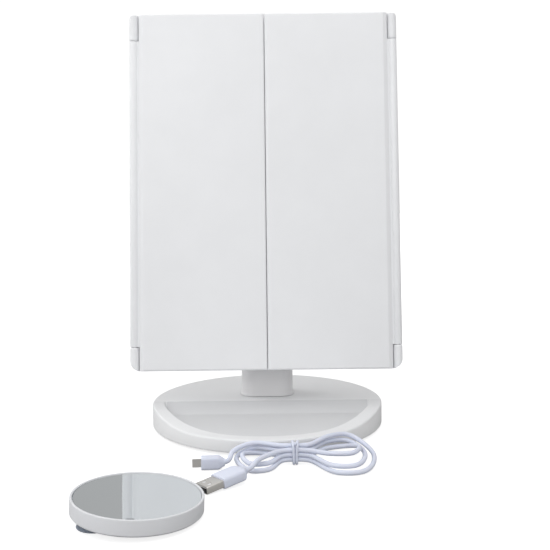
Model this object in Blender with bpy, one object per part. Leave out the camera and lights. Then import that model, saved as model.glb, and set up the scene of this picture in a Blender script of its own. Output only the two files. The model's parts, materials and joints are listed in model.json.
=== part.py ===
"""Tri-fold lighted vanity mirror on a round tray base, shown with its wings closed,
with a small suction-cup spot mirror and a charging cord lying in front of the base.

The scene is in metres, +Z up, front of the mirror towards -Y, left towards -X, origin on
the ground under the middle of the base. Lengths below are in millimetres, scaled by MM.
"""
import math
from collections import namedtuple

import bmesh
import bpy
import numpy as np
from mathutils import Matrix, Vector

MM = 0.001
GAP = 0.3           # clearance between fitted parts
BEYOND = 60.0       # y where a cutter that leaves a part through its back ends
SIDES = ((-1, "left"), (1, "right"))

# ---- screws: all share one head, shank and hole size
SCREW_HEAD_R, SCREW_SHANK_R = 2.8, 1.35
SCREW_HOLE_R, SCREW_SINK_R = 1.7, 3.2

# ---- tilt joint, between the neck and the panel's two ears
TILT = math.radians(8.58)
TILT_Y, TILT_Z = 18.0, 56.0
TILT_PIN_R, TILT_PIN_HALF_L = 2.5, 23.9
TILT_BORE_R = 2.9
NECK_HALF_W = 18.4
EAR_IN, EAR_OUT = 19.8, 26.0
EAR_R = 9.0

# ---- heights shared by the base and the neck
BASE_TOP = 16.2
PLATE_TOP = 3.6
NECK_BOTTOM = BASE_TOP + GAP
TENON_HALF_W, TENON_HALF_D = 12.0, 6.5
NECK_SCREW_X = 7.0

# ---- mirror panel, in its own axes: x across, y from the front face back, z up along it
PANEL_AT = (0.0, -24.0, 41.9)
PANEL_HALF_W, PANEL_H = 92.6, 245.2
PANEL_R_BOTTOM, PANEL_R_TOP = 8.0, 3.5
WALL = 2.4
HOUSING_FRONT, HOUSING_BACK = 14.8, 26.0
BUMP_HALF_W, BUMP_BOTTOM, BUMP_TOP, BUMP_BACK = 36.0, 34.0, 104.0, 37.0
BUMP_MID_Z = (BUMP_BOTTOM + BUMP_TOP) / 2
COVER_HALF_W, COVER_HALF_H, COVER_R, COVER_T = 32.2, 28.7, 2.0, 2.2
CONTROLS_X = 60.0   # middle of the switch, the charging socket and their board
SWITCH_Z = 66.0
JACK_Z = 45.8
HOUSING_SCREWS = [(x, z) for x in (-76.0, 76.0) for z in (24.0, 220.0)]

# ---- wing hinges
HINGE_X = PANEL_HALF_W - 3.2
HINGE_Y = 4.2
HINGE_R = 3.2
LUG_BOTTOM, LUG_TOP = 16.0, 18.0    # lug lengths at the panel's bottom and top
HINGE_PIN_R, HINGE_PIN_HALF_L = 1.2, 8.0
HINGE_HOLE_R, HINGE_HOLE_DEPTH = HINGE_PIN_R + GAP, 8.5

PANEL_FRAME = Matrix.Translation(PANEL_AT) @ Matrix.Rotation(-TILT, 4, "X")
# (y, z) of the tilt axis in the panel's own axes
TILT_IN_PANEL = tuple((PANEL_FRAME.inverted() @ Vector((0, TILT_Y, TILT_Z))).yz)

Look = namedtuple("Look", "colour roughness metallic", defaults=(0.0,))
WHITE = Look(colour=(0.86, 0.865, 0.875), roughness=0.38)
WHITE_INNER = Look(colour=(0.82, 0.825, 0.835), roughness=0.42)
RUBBER = Look(colour=(0.06, 0.06, 0.065), roughness=0.8)
STEEL = Look(colour=(0.62, 0.62, 0.63), roughness=0.28, metallic=1.0)
MIRROR = Look(colour=(0.92, 0.93, 0.94), roughness=0.03, metallic=1.0)
FROST = Look(colour=(0.9, 0.92, 0.95), roughness=0.5)
BOARD = Look(colour=(0.05, 0.22, 0.12), roughness=0.5)
CELL = Look(colour=(0.16, 0.2, 0.3), roughness=0.35, metallic=0.3)
BLACK = Look(colour=(0.03, 0.03, 0.03), roughness=0.4)
CUP = Look(colour=(0.5, 0.56, 0.66), roughness=0.2)
CORD = Look(colour=(0.78, 0.79, 0.9), roughness=0.4)


def clear_scene():
    for obj in list(bpy.data.objects):
        bpy.data.objects.remove(obj, do_unlink=True)


# ------------------------------------------------------------------ outlines
def around(centre, half):
    return centre - half, centre + half


def on_side(side, near, far):
    """The span from near to far out from the middle, on side -1 or 1, low end first."""
    return sorted((side * near, side * far))


def circle(x, y, radius, sides, start=0.0):
    angles = [start + 2 * math.pi * i / sides for i in range(sides)]
    return [(x + radius * math.cos(a), y + radius * math.sin(a)) for a in angles]


def rounded_rect(x_span, z_span, radii, steps):
    """Radii go bottom-left, bottom-right, top-right, top-left; steps are per corner."""
    (left, right), (bottom, top) = x_span, z_span
    corners = ((left, bottom, 1, 1, math.pi), (right, bottom, -1, 1, 1.5 * math.pi),
               (right, top, -1, -1, 0.0), (left, top, 1, -1, 0.5 * math.pi))
    outline = []
    for (x, z, inward_x, inward_z, start), radius in zip(corners, radii):
        for k in range(steps + 1):
            angle = start + 0.5 * math.pi * k / steps
            outline.append((x + inward_x * radius + radius * math.cos(angle),
                            z + inward_z * radius + radius * math.sin(angle)))
    return outline


def panel_outline(inset=0.0):
    low_r, top_r = max(PANEL_R_BOTTOM - inset, 0.4), max(PANEL_R_TOP - inset, 0.4)
    return rounded_rect((-PANEL_HALF_W + inset, PANEL_HALF_W - inset), (inset, PANEL_H - inset),
                        (low_r, low_r, top_r, top_r), 5)


# ------------------------------------------------------------------ solids
def to_object(verts, faces):
    mesh = bpy.data.meshes.new("piece")
    edit = bmesh.new()
    points = [edit.verts.new([c * MM for c in vert]) for vert in verts]
    for face in faces:
        edit.faces.new([points[i] for i in face])
    bmesh.ops.recalc_face_normals(edit, faces=edit.faces)
    if edit.calc_volume(signed=True) < 0:
        bmesh.ops.reverse_faces(edit, faces=edit.faces)
    edit.to_mesh(mesh)
    edit.free()
    obj = bpy.data.objects.new("piece", mesh)
    bpy.context.scene.collection.objects.link(obj)
    return obj


def loft(rings, closed=False):
    """Body through rings of equal point counts: capped at both ends, or closed on itself."""
    size, count = len(rings[0]), len(rings)
    verts = [point for ring in rings for point in ring]
    faces = []
    for k in range(count if closed else count - 1):
        here, there = k * size, (k + 1) % count * size
        for i in range(size):
            j = (i + 1) % size
            faces.append((here + i, here + j, there + j, there + i))
    if not closed:
        faces.append(tuple(range(size))[::-1])
        faces.append(tuple((count - 1) * size + i for i in range(size)))
    return to_object(verts, faces)


def prism(outline, axis, low, high):
    """Outline pulled along axis: x takes (y, z), y takes (x, z), z takes (x, y)."""
    slot = "xyz".index(axis)
    return loft([[(*point[:slot], level, *point[slot:]) for point in outline]
                 for level in (low, high)])


def block(x_span, y_span, z_span):
    (left, right), (front, back) = x_span, y_span
    return prism([(left, front), (right, front), (right, back), (left, back)], "z", *z_span)


def rod(axis, centre, radius, low, high, sides=16):
    return prism(circle(*centre, radius, sides, math.pi / sides), axis, low, high)


def screw(axis, centre, head_span, shank_span):
    return join(rod(axis, centre, SCREW_HEAD_R, *head_span, 12),
                rod(axis, centre, SCREW_SHANK_R, *shank_span, 8))


def lathe(profile, sides, x=0.0, y=0.0):
    """Body turned about the vertical line at x, y; the (radius, z) profile starts and ends on it."""
    verts, index = [], []
    for radius, z in profile:
        if radius < 1e-6:
            index.append([len(verts)] * sides)
            verts.append((x, y, z))
        else:
            index.append([len(verts) + i for i in range(sides)])
            verts += [(*point, z) for point in circle(x, y, radius, sides)]
    faces = []
    for here, there in zip(index, index[1:]):
        for i in range(sides):
            j = (i + 1) % sides
            face = [here[i], here[j], there[j], there[i]]
            # Next to the axis two corners coincide and the face is a triangle.
            kept = [v for k, v in enumerate(face) if v != face[k - 1]]
            if len(kept) > 2:
                faces.append(tuple(kept))
    return to_object(verts, faces)


def tube(path, radius, sides, closed=False):
    """Round tube along a path, its rings carried along without twisting."""
    path = np.asarray(path, float)
    if closed:
        tangents = np.roll(path, -1, axis=0) - np.roll(path, 1, axis=0)
    else:
        tangents = np.gradient(path, axis=0)
    tangents /= np.linalg.norm(tangents, axis=1)[:, None]
    normal = np.cross(tangents[0], (0, 0, 1.0))
    normal /= np.linalg.norm(normal)
    rings = []
    for point, tangent in zip(path, tangents):
        normal = normal - tangent * (normal @ tangent)
        normal /= np.linalg.norm(normal)
        other = np.cross(tangent, normal)
        rings.append([tuple(point + u * normal + v * other)
                      for u, v in circle(0, 0, radius, sides)])
    return loft(rings, closed)


def boolean(obj, other, operation):
    modifier = obj.modifiers.new("cut", "BOOLEAN")
    modifier.operation = operation
    modifier.solver = "EXACT"
    modifier.object = other
    bpy.context.view_layer.update()
    graph = bpy.context.evaluated_depsgraph_get()
    mesh = bpy.data.meshes.new_from_object(obj.evaluated_get(graph))
    obj.modifiers.clear()
    old = obj.data
    obj.data = mesh
    bpy.data.meshes.remove(old)
    bpy.data.objects.remove(other, do_unlink=True)
    return obj


def cut(obj, *others):
    for other in others:
        boolean(obj, other, "DIFFERENCE")
    return obj


def join(obj, *others):
    for other in others:
        boolean(obj, other, "UNION")
    return obj


def common(obj, other):
    return boolean(obj, other, "INTERSECT")


# ------------------------------------------------------------------ placing and finishing
def place(obj, matrix):
    """Moves the mesh itself; the matrix is in millimetres."""
    location, rotation, _ = matrix.decompose()
    obj.data.transform(Matrix.Translation(location * MM) @ rotation.to_matrix().to_4x4())
    return obj


def axis_empty(name, at_mm, lean=0.0):
    empty = bpy.data.objects.new(name, None)
    empty.empty_display_size = 0.02
    bpy.context.scene.collection.objects.link(empty)
    empty.matrix_world = Matrix.Translation(Vector(at_mm) * MM) @ Matrix.Rotation(lean, 4, "X")
    return empty


def panel_empty(name, x, y, z):
    """A pivot at a place given in the panel's axes, leaning with the panel."""
    return axis_empty(name, PANEL_FRAME @ Vector((x, y, z)), -TILT)


def make_material(name, look):
    material = bpy.data.materials.new(name)
    material.use_nodes = True
    shader = material.node_tree.nodes["Principled BSDF"]
    shader.inputs["Base Color"].default_value = (*look.colour, 1.0)
    shader.inputs["Roughness"].default_value = look.roughness
    shader.inputs["Metallic"].default_value = look.metallic
    material.diffuse_color = (*look.colour, 1.0)
    return material


def shade_smooth(mesh, crease=math.radians(35)):
    edit = bmesh.new()
    edit.from_mesh(mesh)
    for face in edit.faces:
        face.smooth = True
    for edge in edit.edges:
        if len(edge.link_faces) != 2 or edge.calc_face_angle(0.0) > crease:
            edge.smooth = False
    edit.to_mesh(mesh)
    edit.free()


def finish(obj, name, look, parent=None, smooth=False):
    obj.name = name
    obj.data.name = name
    obj.data.materials.clear()
    obj.data.materials.append(make_material("mat_" + name, look))
    if smooth:
        shade_smooth(obj.data)
    if parent is not None:
        bpy.context.view_layer.update()
        obj.parent = parent
        obj.matrix_parent_inverse = parent.matrix_world.inverted()


def finish_panel(obj, name, look, parent, smooth=False):
    """Finishes a piece built in the panel's axes."""
    finish(place(obj, PANEL_FRAME), name, look, parent, smooth)


# ------------------------------------------------------------------ base
BASE_R, BASE_INNER_R = 80.0, 77.6
BASE_EDGE = 1.2
BASE_SKIRT = 1.6
BASE_CEILING = 7.6
COVER_TOP_RADII = (71.0, 60.0, 45.0, 32.0, 20.0)
RIM_LOW = 10.4
RIM_FRONT_Y, RIM_RUN = -68.0, 46.0
TRAY_R, TRAY_FLOOR = 71.4, 10.0
TRAY_CHORD_Y, TRAY_SLOPE_Y = -4.0, -17.4    # top and foot of the tray's sloping rear wall
TRAY_CUT_RISE, TRAY_CUT_TOP, TRAY_CUT_REACH = 2.0, 30.0, 90.0
PLATE_R, PAD_R = 77.2, 74.0
SCREW_RING, BOSS_R = 66.0, 3.6
BASE_SCREWS = [(SCREW_RING * math.cos(math.pi / 2 * k), SCREW_RING * math.sin(math.pi / 2 * k))
               for k in range(4)]
NECK_SCREWS = [(-NECK_SCREW_X, TILT_Y), (NECK_SCREW_X, TILT_Y)]
NECK_SCREW_TOP = 13.0


def rim_height(y):
    """The rim is low round the front of the tray and climbs towards the neck."""
    s = min(1.0, max(0.0, (y - RIM_FRONT_Y) / RIM_RUN))
    return RIM_LOW + (BASE_TOP - RIM_LOW) * s * s * (3 - 2 * s)


def level_ring(radius, z):
    return [(x, y, z) for x, y in circle(0, 0, radius, 72)]


def rim_ring(radius, drop):
    """A ring that follows the rim, drop below it."""
    return [(x, y, rim_height(y) - drop) for x, y in circle(0, 0, radius, 72)]


def tray_cutter():
    """Round bowl with a sloping rear wall, carried on above the base top at the same slope."""
    slope = (TRAY_CHORD_Y - TRAY_SLOPE_Y) / (BASE_TOP - TRAY_FLOOR)
    back = TRAY_CHORD_Y + TRAY_CUT_RISE * slope
    wedge = prism([(-TRAY_CUT_REACH, TRAY_FLOOR), (TRAY_SLOPE_Y, TRAY_FLOOR),
                   (TRAY_CHORD_Y, BASE_TOP), (back, BASE_TOP + TRAY_CUT_RISE),
                   (back, TRAY_CUT_TOP), (-TRAY_CUT_REACH, TRAY_CUT_TOP)],
                  "x", -TRAY_CUT_REACH, TRAY_CUT_REACH)
    bowl = prism(circle(0, 0, TRAY_R, 64, 0.01), "z", TRAY_FLOOR - 3, 25)
    return common(wedge, bowl)


def make_base_cover():
    rings = [level_ring(BASE_INNER_R, BASE_CEILING), level_ring(BASE_INNER_R, BASE_SKIRT),
             level_ring(BASE_R - 0.6, BASE_SKIRT), level_ring(BASE_R, BASE_SKIRT + 0.8),
             rim_ring(BASE_R, BASE_EDGE), rim_ring(BASE_R - 0.3 * BASE_EDGE, 0.3 * BASE_EDGE),
             rim_ring(BASE_R - BASE_EDGE, 0.0)]
    cover = loft(rings + [rim_ring(radius, 0.0) for radius in COVER_TOP_RADII])
    cut(cover, tray_cutter())
    # Socket for the neck's tenon.
    cut(cover, block(around(0, TENON_HALF_W + GAP), around(TILT_Y, TENON_HALF_D + GAP), (5, 20)))
    for centre in BASE_SCREWS:
        join(cover, rod("z", centre, BOSS_R, PLATE_TOP + GAP, BASE_CEILING + 1.0, 12))
        cut(cover, rod("z", centre, SCREW_HOLE_R, PLATE_TOP - 1, BASE_CEILING + 0.6, 10))
    finish(cover, "base_top_cover", WHITE, smooth=True)


def make_base_plate():
    plate = prism(circle(0, 0, PLATE_R, 64), "z", BASE_SKIRT, PLATE_TOP)
    for centre in BASE_SCREWS + NECK_SCREWS:
        cut(plate, rod("z", centre, SCREW_HOLE_R, 0, 6, 10),
            rod("z", centre, SCREW_SINK_R, 0, BASE_SKIRT + 1.1, 14))
    finish(plate, "base_bottom_plate", WHITE_INNER)


def make_base_screws():
    for word, centres, top in (("base", BASE_SCREWS, BASE_CEILING - 0.2),
                               ("neck", NECK_SCREWS, NECK_SCREW_TOP)):
        for i, centre in enumerate(centres, 1):
            piece = screw("z", centre, (BASE_SKIRT + 0.1, BASE_SKIRT + 0.8),
                          (BASE_SKIRT + 0.4, top))
            finish(piece, "%s_screw_%d" % (word, i), STEEL)


def make_grip_pad():
    finish(prism(circle(0, 0, PAD_R, 64), "z", 0.0, BASE_SKIRT - GAP), "base_grip_pad", RUBBER)


# ------------------------------------------------------------------ neck
NECK_FRONT, NECK_BACK = 6.5, 29.5
NECK_R_FRONT, NECK_R_BACK = 9.6, 4.0
KNUCKLE_R = 11.5
# outward flare, height above the neck's foot
NECK_FLARE = ((0.9, 0.0), (0.35, 0.6), (0.0, 2.0))
RECESS_HALF_W, RECESS_DEPTH, RECESS_Z = 12.5, 2.0, (20.0, 44.0)
HOLLOW_HALF_W, HOLLOW_FRONT, HOLLOW_Z = 10.5, 11.5, (22.0, 42.0)


def neck_ring(flare, z):
    front_r, back_r = NECK_R_FRONT + flare, NECK_R_BACK + flare
    outline = rounded_rect(around(0, NECK_HALF_W + flare), (NECK_FRONT - flare, NECK_BACK + flare),
                           (front_r, front_r, back_r, back_r), 6)
    return [(x, y, z) for x, y in outline]


def make_neck_column():
    rings = [neck_ring(flare, NECK_BOTTOM + rise) for flare, rise in NECK_FLARE]
    neck = loft(rings + [neck_ring(0.0, TILT_Z)])
    join(neck, rod("x", (TILT_Y, TILT_Z), KNUCKLE_R, -NECK_HALF_W, NECK_HALF_W, 40))
    join(neck, block(around(0, TENON_HALF_W), around(TILT_Y, TENON_HALF_D),
                     (PLATE_TOP + 0.4, NECK_BOTTOM + 2)))
    cut(neck, rod("x", (TILT_Y, TILT_Z), TILT_BORE_R, -30, 30))
    cut(neck, block(around(0, RECESS_HALF_W), (NECK_BACK - RECESS_DEPTH, BEYOND), RECESS_Z))
    cut(neck, block(around(0, HOLLOW_HALF_W), (HOLLOW_FRONT, BEYOND), HOLLOW_Z))
    for centre in NECK_SCREWS:
        cut(neck, rod("z", centre, SCREW_HOLE_R, 0, NECK_SCREW_TOP + 0.5, 10))
    finish(neck, "neck_column", WHITE, smooth=True)


def make_neck_cover():
    bottom, top = RECESS_Z
    cover = block(around(0, RECESS_HALF_W - GAP), (NECK_BACK - RECESS_DEPTH + GAP, NECK_BACK),
                  (bottom + GAP, top - GAP))
    finish(cover, "neck_rear_cover", WHITE_INNER)


def make_tilt_pin():
    pin = rod("x", (TILT_Y, TILT_Z), TILT_PIN_R, -TILT_PIN_HALF_L, TILT_PIN_HALF_L)
    finish(pin, "tilt_pin", STEEL, smooth=True)


# ------------------------------------------------------------------ rear housing
# inset from the panel outline, y
HOUSING_RINGS = ((0.0, HOUSING_FRONT), (0.0, 20.0), (0.9, 22.6), (2.6, 24.8), (5.4, HOUSING_BACK))
# inset from the bump outline, y
BUMP_RINGS = ((0.0, HOUSING_BACK - 1.5), (0.0, BUMP_BACK - 3.0), (0.8, BUMP_BACK - 1.0),
              (2.4, BUMP_BACK))
BUMP_R = 5.0
POCKET_INSET = WALL + 2.6
CELL_WALL_HALF_W, CELL_WALL_FRONT, CELL_WALL_Z = 33.0, 17.2, (38.5, 99.0)
CELL_BAY_HALF_W, CELL_BAY_FRONT, CELL_BAY_HALF_H = 30.5, 19.2, 26.4
EAR_ROOT_Y = HOUSING_BACK - 1.2
CAP_SEAT_R, CAP_SEAT_DEPTH = 6.3, 2.0
HOUSING_THROUGH = (20.0, BEYOND)    # y span of cutters through the back wall
SLOT_HALF_W, SLOT_Z = 2.7, (62.0, 74.0)
PORT_HALF_W, PORT_HALF_H = 4.4, 1.8


def housing_shell():
    shell = loft([[(x, y, z) for x, z in panel_outline(inset)] for inset, y in HOUSING_RINGS])
    pocket = rounded_rect((-PANEL_HALF_W + POCKET_INSET, PANEL_HALF_W - POCKET_INSET),
                          (POCKET_INSET, PANEL_H - POCKET_INSET), (4, 4, 2, 2), 2)
    return cut(shell, prism(pocket, "y", 5, HOUSING_BACK - WALL))


def battery_bump():
    rings = []
    for inset, y in BUMP_RINGS:
        outline = rounded_rect(around(0, BUMP_HALF_W - inset),
                               (BUMP_BOTTOM + inset, BUMP_TOP - inset), (BUMP_R - inset,) * 4, 4)
        rings.append([(x, y, z) for x, z in outline])
    return loft(rings)


def tilt_ear(side):
    axis_y, axis_z = TILT_IN_PANEL
    outline = [(EAR_ROOT_Y, axis_z - 14.0)]
    for k in range(13):
        angle = math.radians(-80 + 160 * k / 12)
        outline.append((axis_y + EAR_R * math.cos(angle), axis_z + EAR_R * math.sin(angle)))
    outline.append((EAR_ROOT_Y, BUMP_BOTTOM + 3.0))
    return prism(outline, "x", *on_side(side, EAR_IN, EAR_OUT))


def make_housing(parent):
    body = housing_shell()
    join(body, block(around(0, CELL_WALL_HALF_W), (CELL_WALL_FRONT, HOUSING_BACK - 1),
                     CELL_WALL_Z))
    join(body, battery_bump())
    for side, _ in SIDES:
        join(body, tilt_ear(side))
    for side, _ in SIDES:
        seat_span = on_side(side, EAR_OUT - CAP_SEAT_DEPTH, EAR_OUT + 5)
        cut(body, rod("x", TILT_IN_PANEL, CAP_SEAT_R, *seat_span, 20))
    cut(body, rod("x", TILT_IN_PANEL, TILT_BORE_R, -40, 40))
    cut(body, block(around(0, CELL_BAY_HALF_W), (CELL_BAY_FRONT, BEYOND),
                    around(BUMP_MID_Z, CELL_BAY_HALF_H)))
    cover_seat = rounded_rect(around(0, COVER_HALF_W + GAP), around(BUMP_MID_Z, COVER_HALF_H + GAP),
                              (COVER_R + GAP,) * 4, 3)
    cut(body, prism(cover_seat, "y", BUMP_BACK - COVER_T - GAP, BEYOND))
    # Openings for the slide switch and the charging socket.
    cut(body, block(around(CONTROLS_X, SLOT_HALF_W), HOUSING_THROUGH, SLOT_Z))
    cut(body, block(around(CONTROLS_X, PORT_HALF_W), HOUSING_THROUGH, around(JACK_Z, PORT_HALF_H)))
    for centre in HOUSING_SCREWS:
        cut(body, rod("y", centre, SCREW_HOLE_R, *HOUSING_THROUGH, 10))
        cut(body, rod("y", centre, SCREW_SINK_R, HOUSING_BACK - 1.1, BEYOND, 12))
    finish_panel(body, "rear_housing", WHITE, parent, smooth=True)


# ------------------------------------------------------------------ panel front
BEZEL_FRONT, BEZEL_BACK = 8.3, 14.5
BEZEL_THROUGH = (5.0, 20.0)
LUG_TRIM = 0.06     # keeps the lugs just inside the panel outline
GLASS_HALF_W, GLASS_BOTTOM, GLASS_TOP = 71.5, 17.0, 229.0
STRIP_IN, STRIP_OUT, STRIP_TOP, STRIP_BOTTOM = 74.0, 82.0, 238.5, 22.0
TOUCH_AT = (0, 8.5)
TOUCH_R = 4.4
CHIP_HALF = 1.6


def bezel_lug(side, z_span):
    """Hinge lug with a half-round front, trimmed to the panel outline."""
    radius = HINGE_R - LUG_TRIM
    hinge_x, root_y = side * HINGE_X, BEZEL_FRONT + 1.0
    outline = [(hinge_x - radius, root_y)]
    for k in range(11):
        angle = math.pi + math.pi * k / 10
        outline.append((hinge_x + radius * math.cos(angle), HINGE_Y + radius * math.sin(angle)))
    outline.append((hinge_x + radius, root_y))
    return common(prism(outline, "z", *z_span), prism(panel_outline(LUG_TRIM), "y", -5, 20))


def strip_shape(inner, outer, top, bottom):
    """An arch: two legs and a bar across the top, as one outline."""
    under = top - (outer - inner)
    return [(-outer, bottom), (-inner, bottom), (-inner, under), (inner, under),
            (inner, bottom), (outer, bottom), (outer, top), (-outer, top)]


def make_bezel(parent):
    bezel = prism(panel_outline(), "y", BEZEL_FRONT, BEZEL_BACK)
    upper = PANEL_H - LUG_TOP
    for side, _ in SIDES:
        for z_span in ((-5.0, LUG_BOTTOM), (upper, PANEL_H + 5.0)):
            join(bezel, bezel_lug(side, z_span))
        for z_span in ((LUG_BOTTOM - HINGE_HOLE_DEPTH, LUG_BOTTOM + 2),
                       (upper - 2, upper + HINGE_HOLE_DEPTH)):
            cut(bezel, rod("z", (side * HINGE_X, HINGE_Y), HINGE_HOLE_R, *z_span, 12))
    cut(bezel, block(around(0, GLASS_HALF_W + GAP), (5, 12.4), (GLASS_BOTTOM - GAP, GLASS_TOP + GAP)))
    # Opening in the floor of the glass seat.
    cut(bezel, block((-60, 60), (10, 20), (60, 190)))
    cut(bezel, prism(strip_shape(STRIP_IN, STRIP_OUT, STRIP_TOP, STRIP_BOTTOM),
                     "y", *BEZEL_THROUGH))
    cut(bezel, rod("y", TOUCH_AT, TOUCH_R + 0.4, *BEZEL_THROUGH, 20))
    finish_panel(bezel, "front_bezel", WHITE, parent, smooth=True)


def make_centre_mirror(parent):
    glass = block(around(0, GLASS_HALF_W), (9.0, 12.1), (GLASS_BOTTOM, GLASS_TOP))
    finish_panel(glass, "centre_mirror", MIRROR, parent)


def make_diffuser(parent):
    arch = strip_shape(STRIP_IN + GAP, STRIP_OUT - GAP, STRIP_TOP - GAP, STRIP_BOTTOM + GAP)
    finish_panel(prism(arch, "y", 8.9, 11.4), "light_diffuser", FROST, parent)


def make_led_board(parent):
    arch = strip_shape(STRIP_IN - 1.2, STRIP_OUT + 1.2, STRIP_TOP + 0.4, STRIP_BOTTOM + 2.0)
    board = prism(arch, "y", 15.2, 16.4)
    strip_mid = 0.5 * (STRIP_IN + STRIP_OUT)
    chips = [(side * strip_mid, 34.0 + 25.0 * k) for side, _ in SIDES for k in range(8)]
    chips += [(-60.0 + 30.0 * k, STRIP_TOP - 4.0) for k in range(5)]
    for x, z in chips:
        join(board, block(around(x, CHIP_HALF), (14.2, 15.5), around(z, CHIP_HALF)))
    finish_panel(board, "led_strip_board", BOARD, parent)


def make_touch_pad(parent):
    pad = rod("y", TOUCH_AT, TOUCH_R, 8.1, 11.6, 20)
    finish_panel(pad, "touch_sensor_pad", STEEL, parent, smooth=True)


# ------------------------------------------------------------------ parts in the housing
CELL_R, CELL_L, CELL_Y, CELL_BOTTOM = 7.1, 50.2, 26.8, 43.6
CELL_PITCH = 2 * CELL_R + 0.9
CELL_NUB_R, CELL_NUB_L = 2.6, 1.2
CAP_R, WASHER_R = 5.9, 7.4
WASHER_GAP = 0.35
SWITCH_BACK = HOUSING_BACK - WALL   # inner face of the housing's back wall


def make_control_board(parent):
    board = block(around(CONTROLS_X, 18.0), (16.9, 18.4), (34.0, 84.0))
    finish_panel(board, "control_board", BOARD, parent)


def make_charging_socket(parent):
    jack = block(around(CONTROLS_X, 4.0), (18.8, HOUSING_BACK - 0.5), around(JACK_Z, 1.5))
    cut(jack, block(around(CONTROLS_X, 3.3), (HOUSING_BACK - 5.5, BEYOND), around(JACK_Z, 0.9)))
    join(jack, block(around(CONTROLS_X, 2.2), (HOUSING_BACK - 6.0, HOUSING_BACK - 1.5),
                     (JACK_Z - 0.3, JACK_Z + 0.2)))
    finish_panel(jack, "charging_socket", STEEL, parent)


def make_cells(parent):
    top = CELL_BOTTOM + CELL_L
    for i in range(4):
        centre = ((i - 1.5) * CELL_PITCH, CELL_Y)
        cell = rod("z", centre, CELL_R, CELL_BOTTOM, top - CELL_NUB_L, 20)
        join(cell, rod("z", centre, CELL_NUB_R, top - 2.0, top, 12))
        finish_panel(cell, "battery_cell_%d" % (i + 1), CELL, parent, smooth=True)


def make_housing_screws(parent):
    for i, centre in enumerate(HOUSING_SCREWS, 1):
        piece = screw("y", centre, (HOUSING_BACK - 0.9, HOUSING_BACK - 0.1),
                      (16.9, HOUSING_BACK - 0.4))
        finish_panel(piece, "housing_screw_%d" % i, STEEL, parent)


def make_tilt_fittings(parent):
    """A cap on the outer face of each ear and a washer between each ear and the neck."""
    for side, word in SIDES:
        cap = rod("x", TILT_IN_PANEL, CAP_R, *on_side(side, EAR_OUT - 1.7, EAR_OUT + 0.5), 20)
        finish_panel(cap, "tilt_cap_" + word, WHITE_INNER, parent, smooth=True)
        low, high = on_side(side, NECK_HALF_W + WASHER_GAP, EAR_IN - WASHER_GAP)
        washer = rod("x", TILT_IN_PANEL, WASHER_R, low, high, 20)
        cut(washer, rod("x", TILT_IN_PANEL, TILT_BORE_R, low - 2, high + 2))
        finish_panel(washer, "tilt_washer_" + word, BLACK, parent, smooth=True)


def make_switch(parent):
    plate = block(around(CONTROLS_X, 3.6), (SWITCH_BACK - 1.7, SWITCH_BACK - 0.4), (57.0, 75.5))
    knob = block(around(CONTROLS_X, 2.3), (SWITCH_BACK - 1.0, HOUSING_BACK + 1.3),
                 around(SWITCH_Z, 3.0))
    finish_panel(join(plate, knob), "power_switch_slider", BLACK, parent)


def make_battery_cover(parent):
    outline = rounded_rect(around(0, COVER_HALF_W), around(BUMP_MID_Z, COVER_HALF_H),
                           (COVER_R,) * 4, 3)
    cover = prism(outline, "y", BUMP_BACK - COVER_T, BUMP_BACK)
    # Five grip grooves, from the top one down.
    for k in range(5):
        cut(cover, block((-9, 9), (BUMP_BACK - 0.7, BEYOND), around(88.0 - 2.4 * k, 0.6)))
    finish_panel(cover, "battery_cover", WHITE_INNER, parent)


# ------------------------------------------------------------------ wings
WING_T = 8.0
WING_EDGE, WING_FLAT = 6.9, 9.6     # bevel at the hinge, in from the panel's edge
SEAM, SEAM_X = 0.35, 0.8            # half width and x of the seam between the wings
SEAM_BEVEL = 0.8
WING_BOTTOM, WING_TOP = LUG_BOTTOM + GAP, PANEL_H - LUG_TOP - GAP   # ends of the hinge barrel
SEAT_EDGE, SEAT_FRONT = 9.8, 3.0
# hinge web in plan: distance in from the panel's edge, y
WEB_PLAN = ((4.4, 6.9), (4.4, 3.0), (5.6, 2.6), (6.4, 2.2), (8.2, 1.4), (8.2, WING_T),
            (5.6, WING_T))
FRAME_BAR = 4.0
LEFT_SPLIT_Z, SPLIT_HALF = 118.0, 1.5   # cross bar of the left frame


def wing_plan(side):
    """Plan outline of a wing's flat part, bevelled at the hinge and at the seam."""
    end = PANEL_HALF_W - SEAM - side * SEAM_X
    points = ((PANEL_HALF_W - WING_EDGE, WING_T), (PANEL_HALF_W - WING_EDGE, 2.0),
              (PANEL_HALF_W - WING_FLAT, 0.0), (PANEL_HALF_W - end + SEAM_BEVEL, 0.0),
              (PANEL_HALF_W - end, SEAM_BEVEL), (PANEL_HALF_W - end, WING_T))
    return [(side * x, y) for x, y in points]


def wing_inside(side, gap=0.0):
    """x and z spans of the seat for the frame, drawn in by gap."""
    x_span = sorted((side * (PANEL_HALF_W - SEAT_EDGE - gap), side * (SEAM + WALL + gap) + SEAM_X))
    return x_span, (WALL + gap, PANEL_H - WALL - gap)


def make_wing_shell(side, word, parent):
    shell = prism(wing_plan(side), "z", 0.0, PANEL_H)
    hinge = (side * HINGE_X, HINGE_Y)
    web = prism([(side * (PANEL_HALF_W - inset), y) for inset, y in WEB_PLAN],
                "z", WING_BOTTOM, WING_TOP)
    join(shell, web, rod("z", hinge, HINGE_R, WING_BOTTOM, WING_TOP, 20))
    x_span, z_span = wing_inside(side)
    cut(shell, block(x_span, (SEAT_FRONT, 20), z_span))
    for span in ((WING_BOTTOM - 2, WING_BOTTOM + HINGE_HOLE_DEPTH),
                 (WING_TOP - HINGE_HOLE_DEPTH, WING_TOP + 2)):
        cut(shell, rod("z", hinge, HINGE_HOLE_R, *span, 12))
    finish_panel(shell, "wing_shell_" + word, WHITE, parent, smooth=True)


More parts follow.
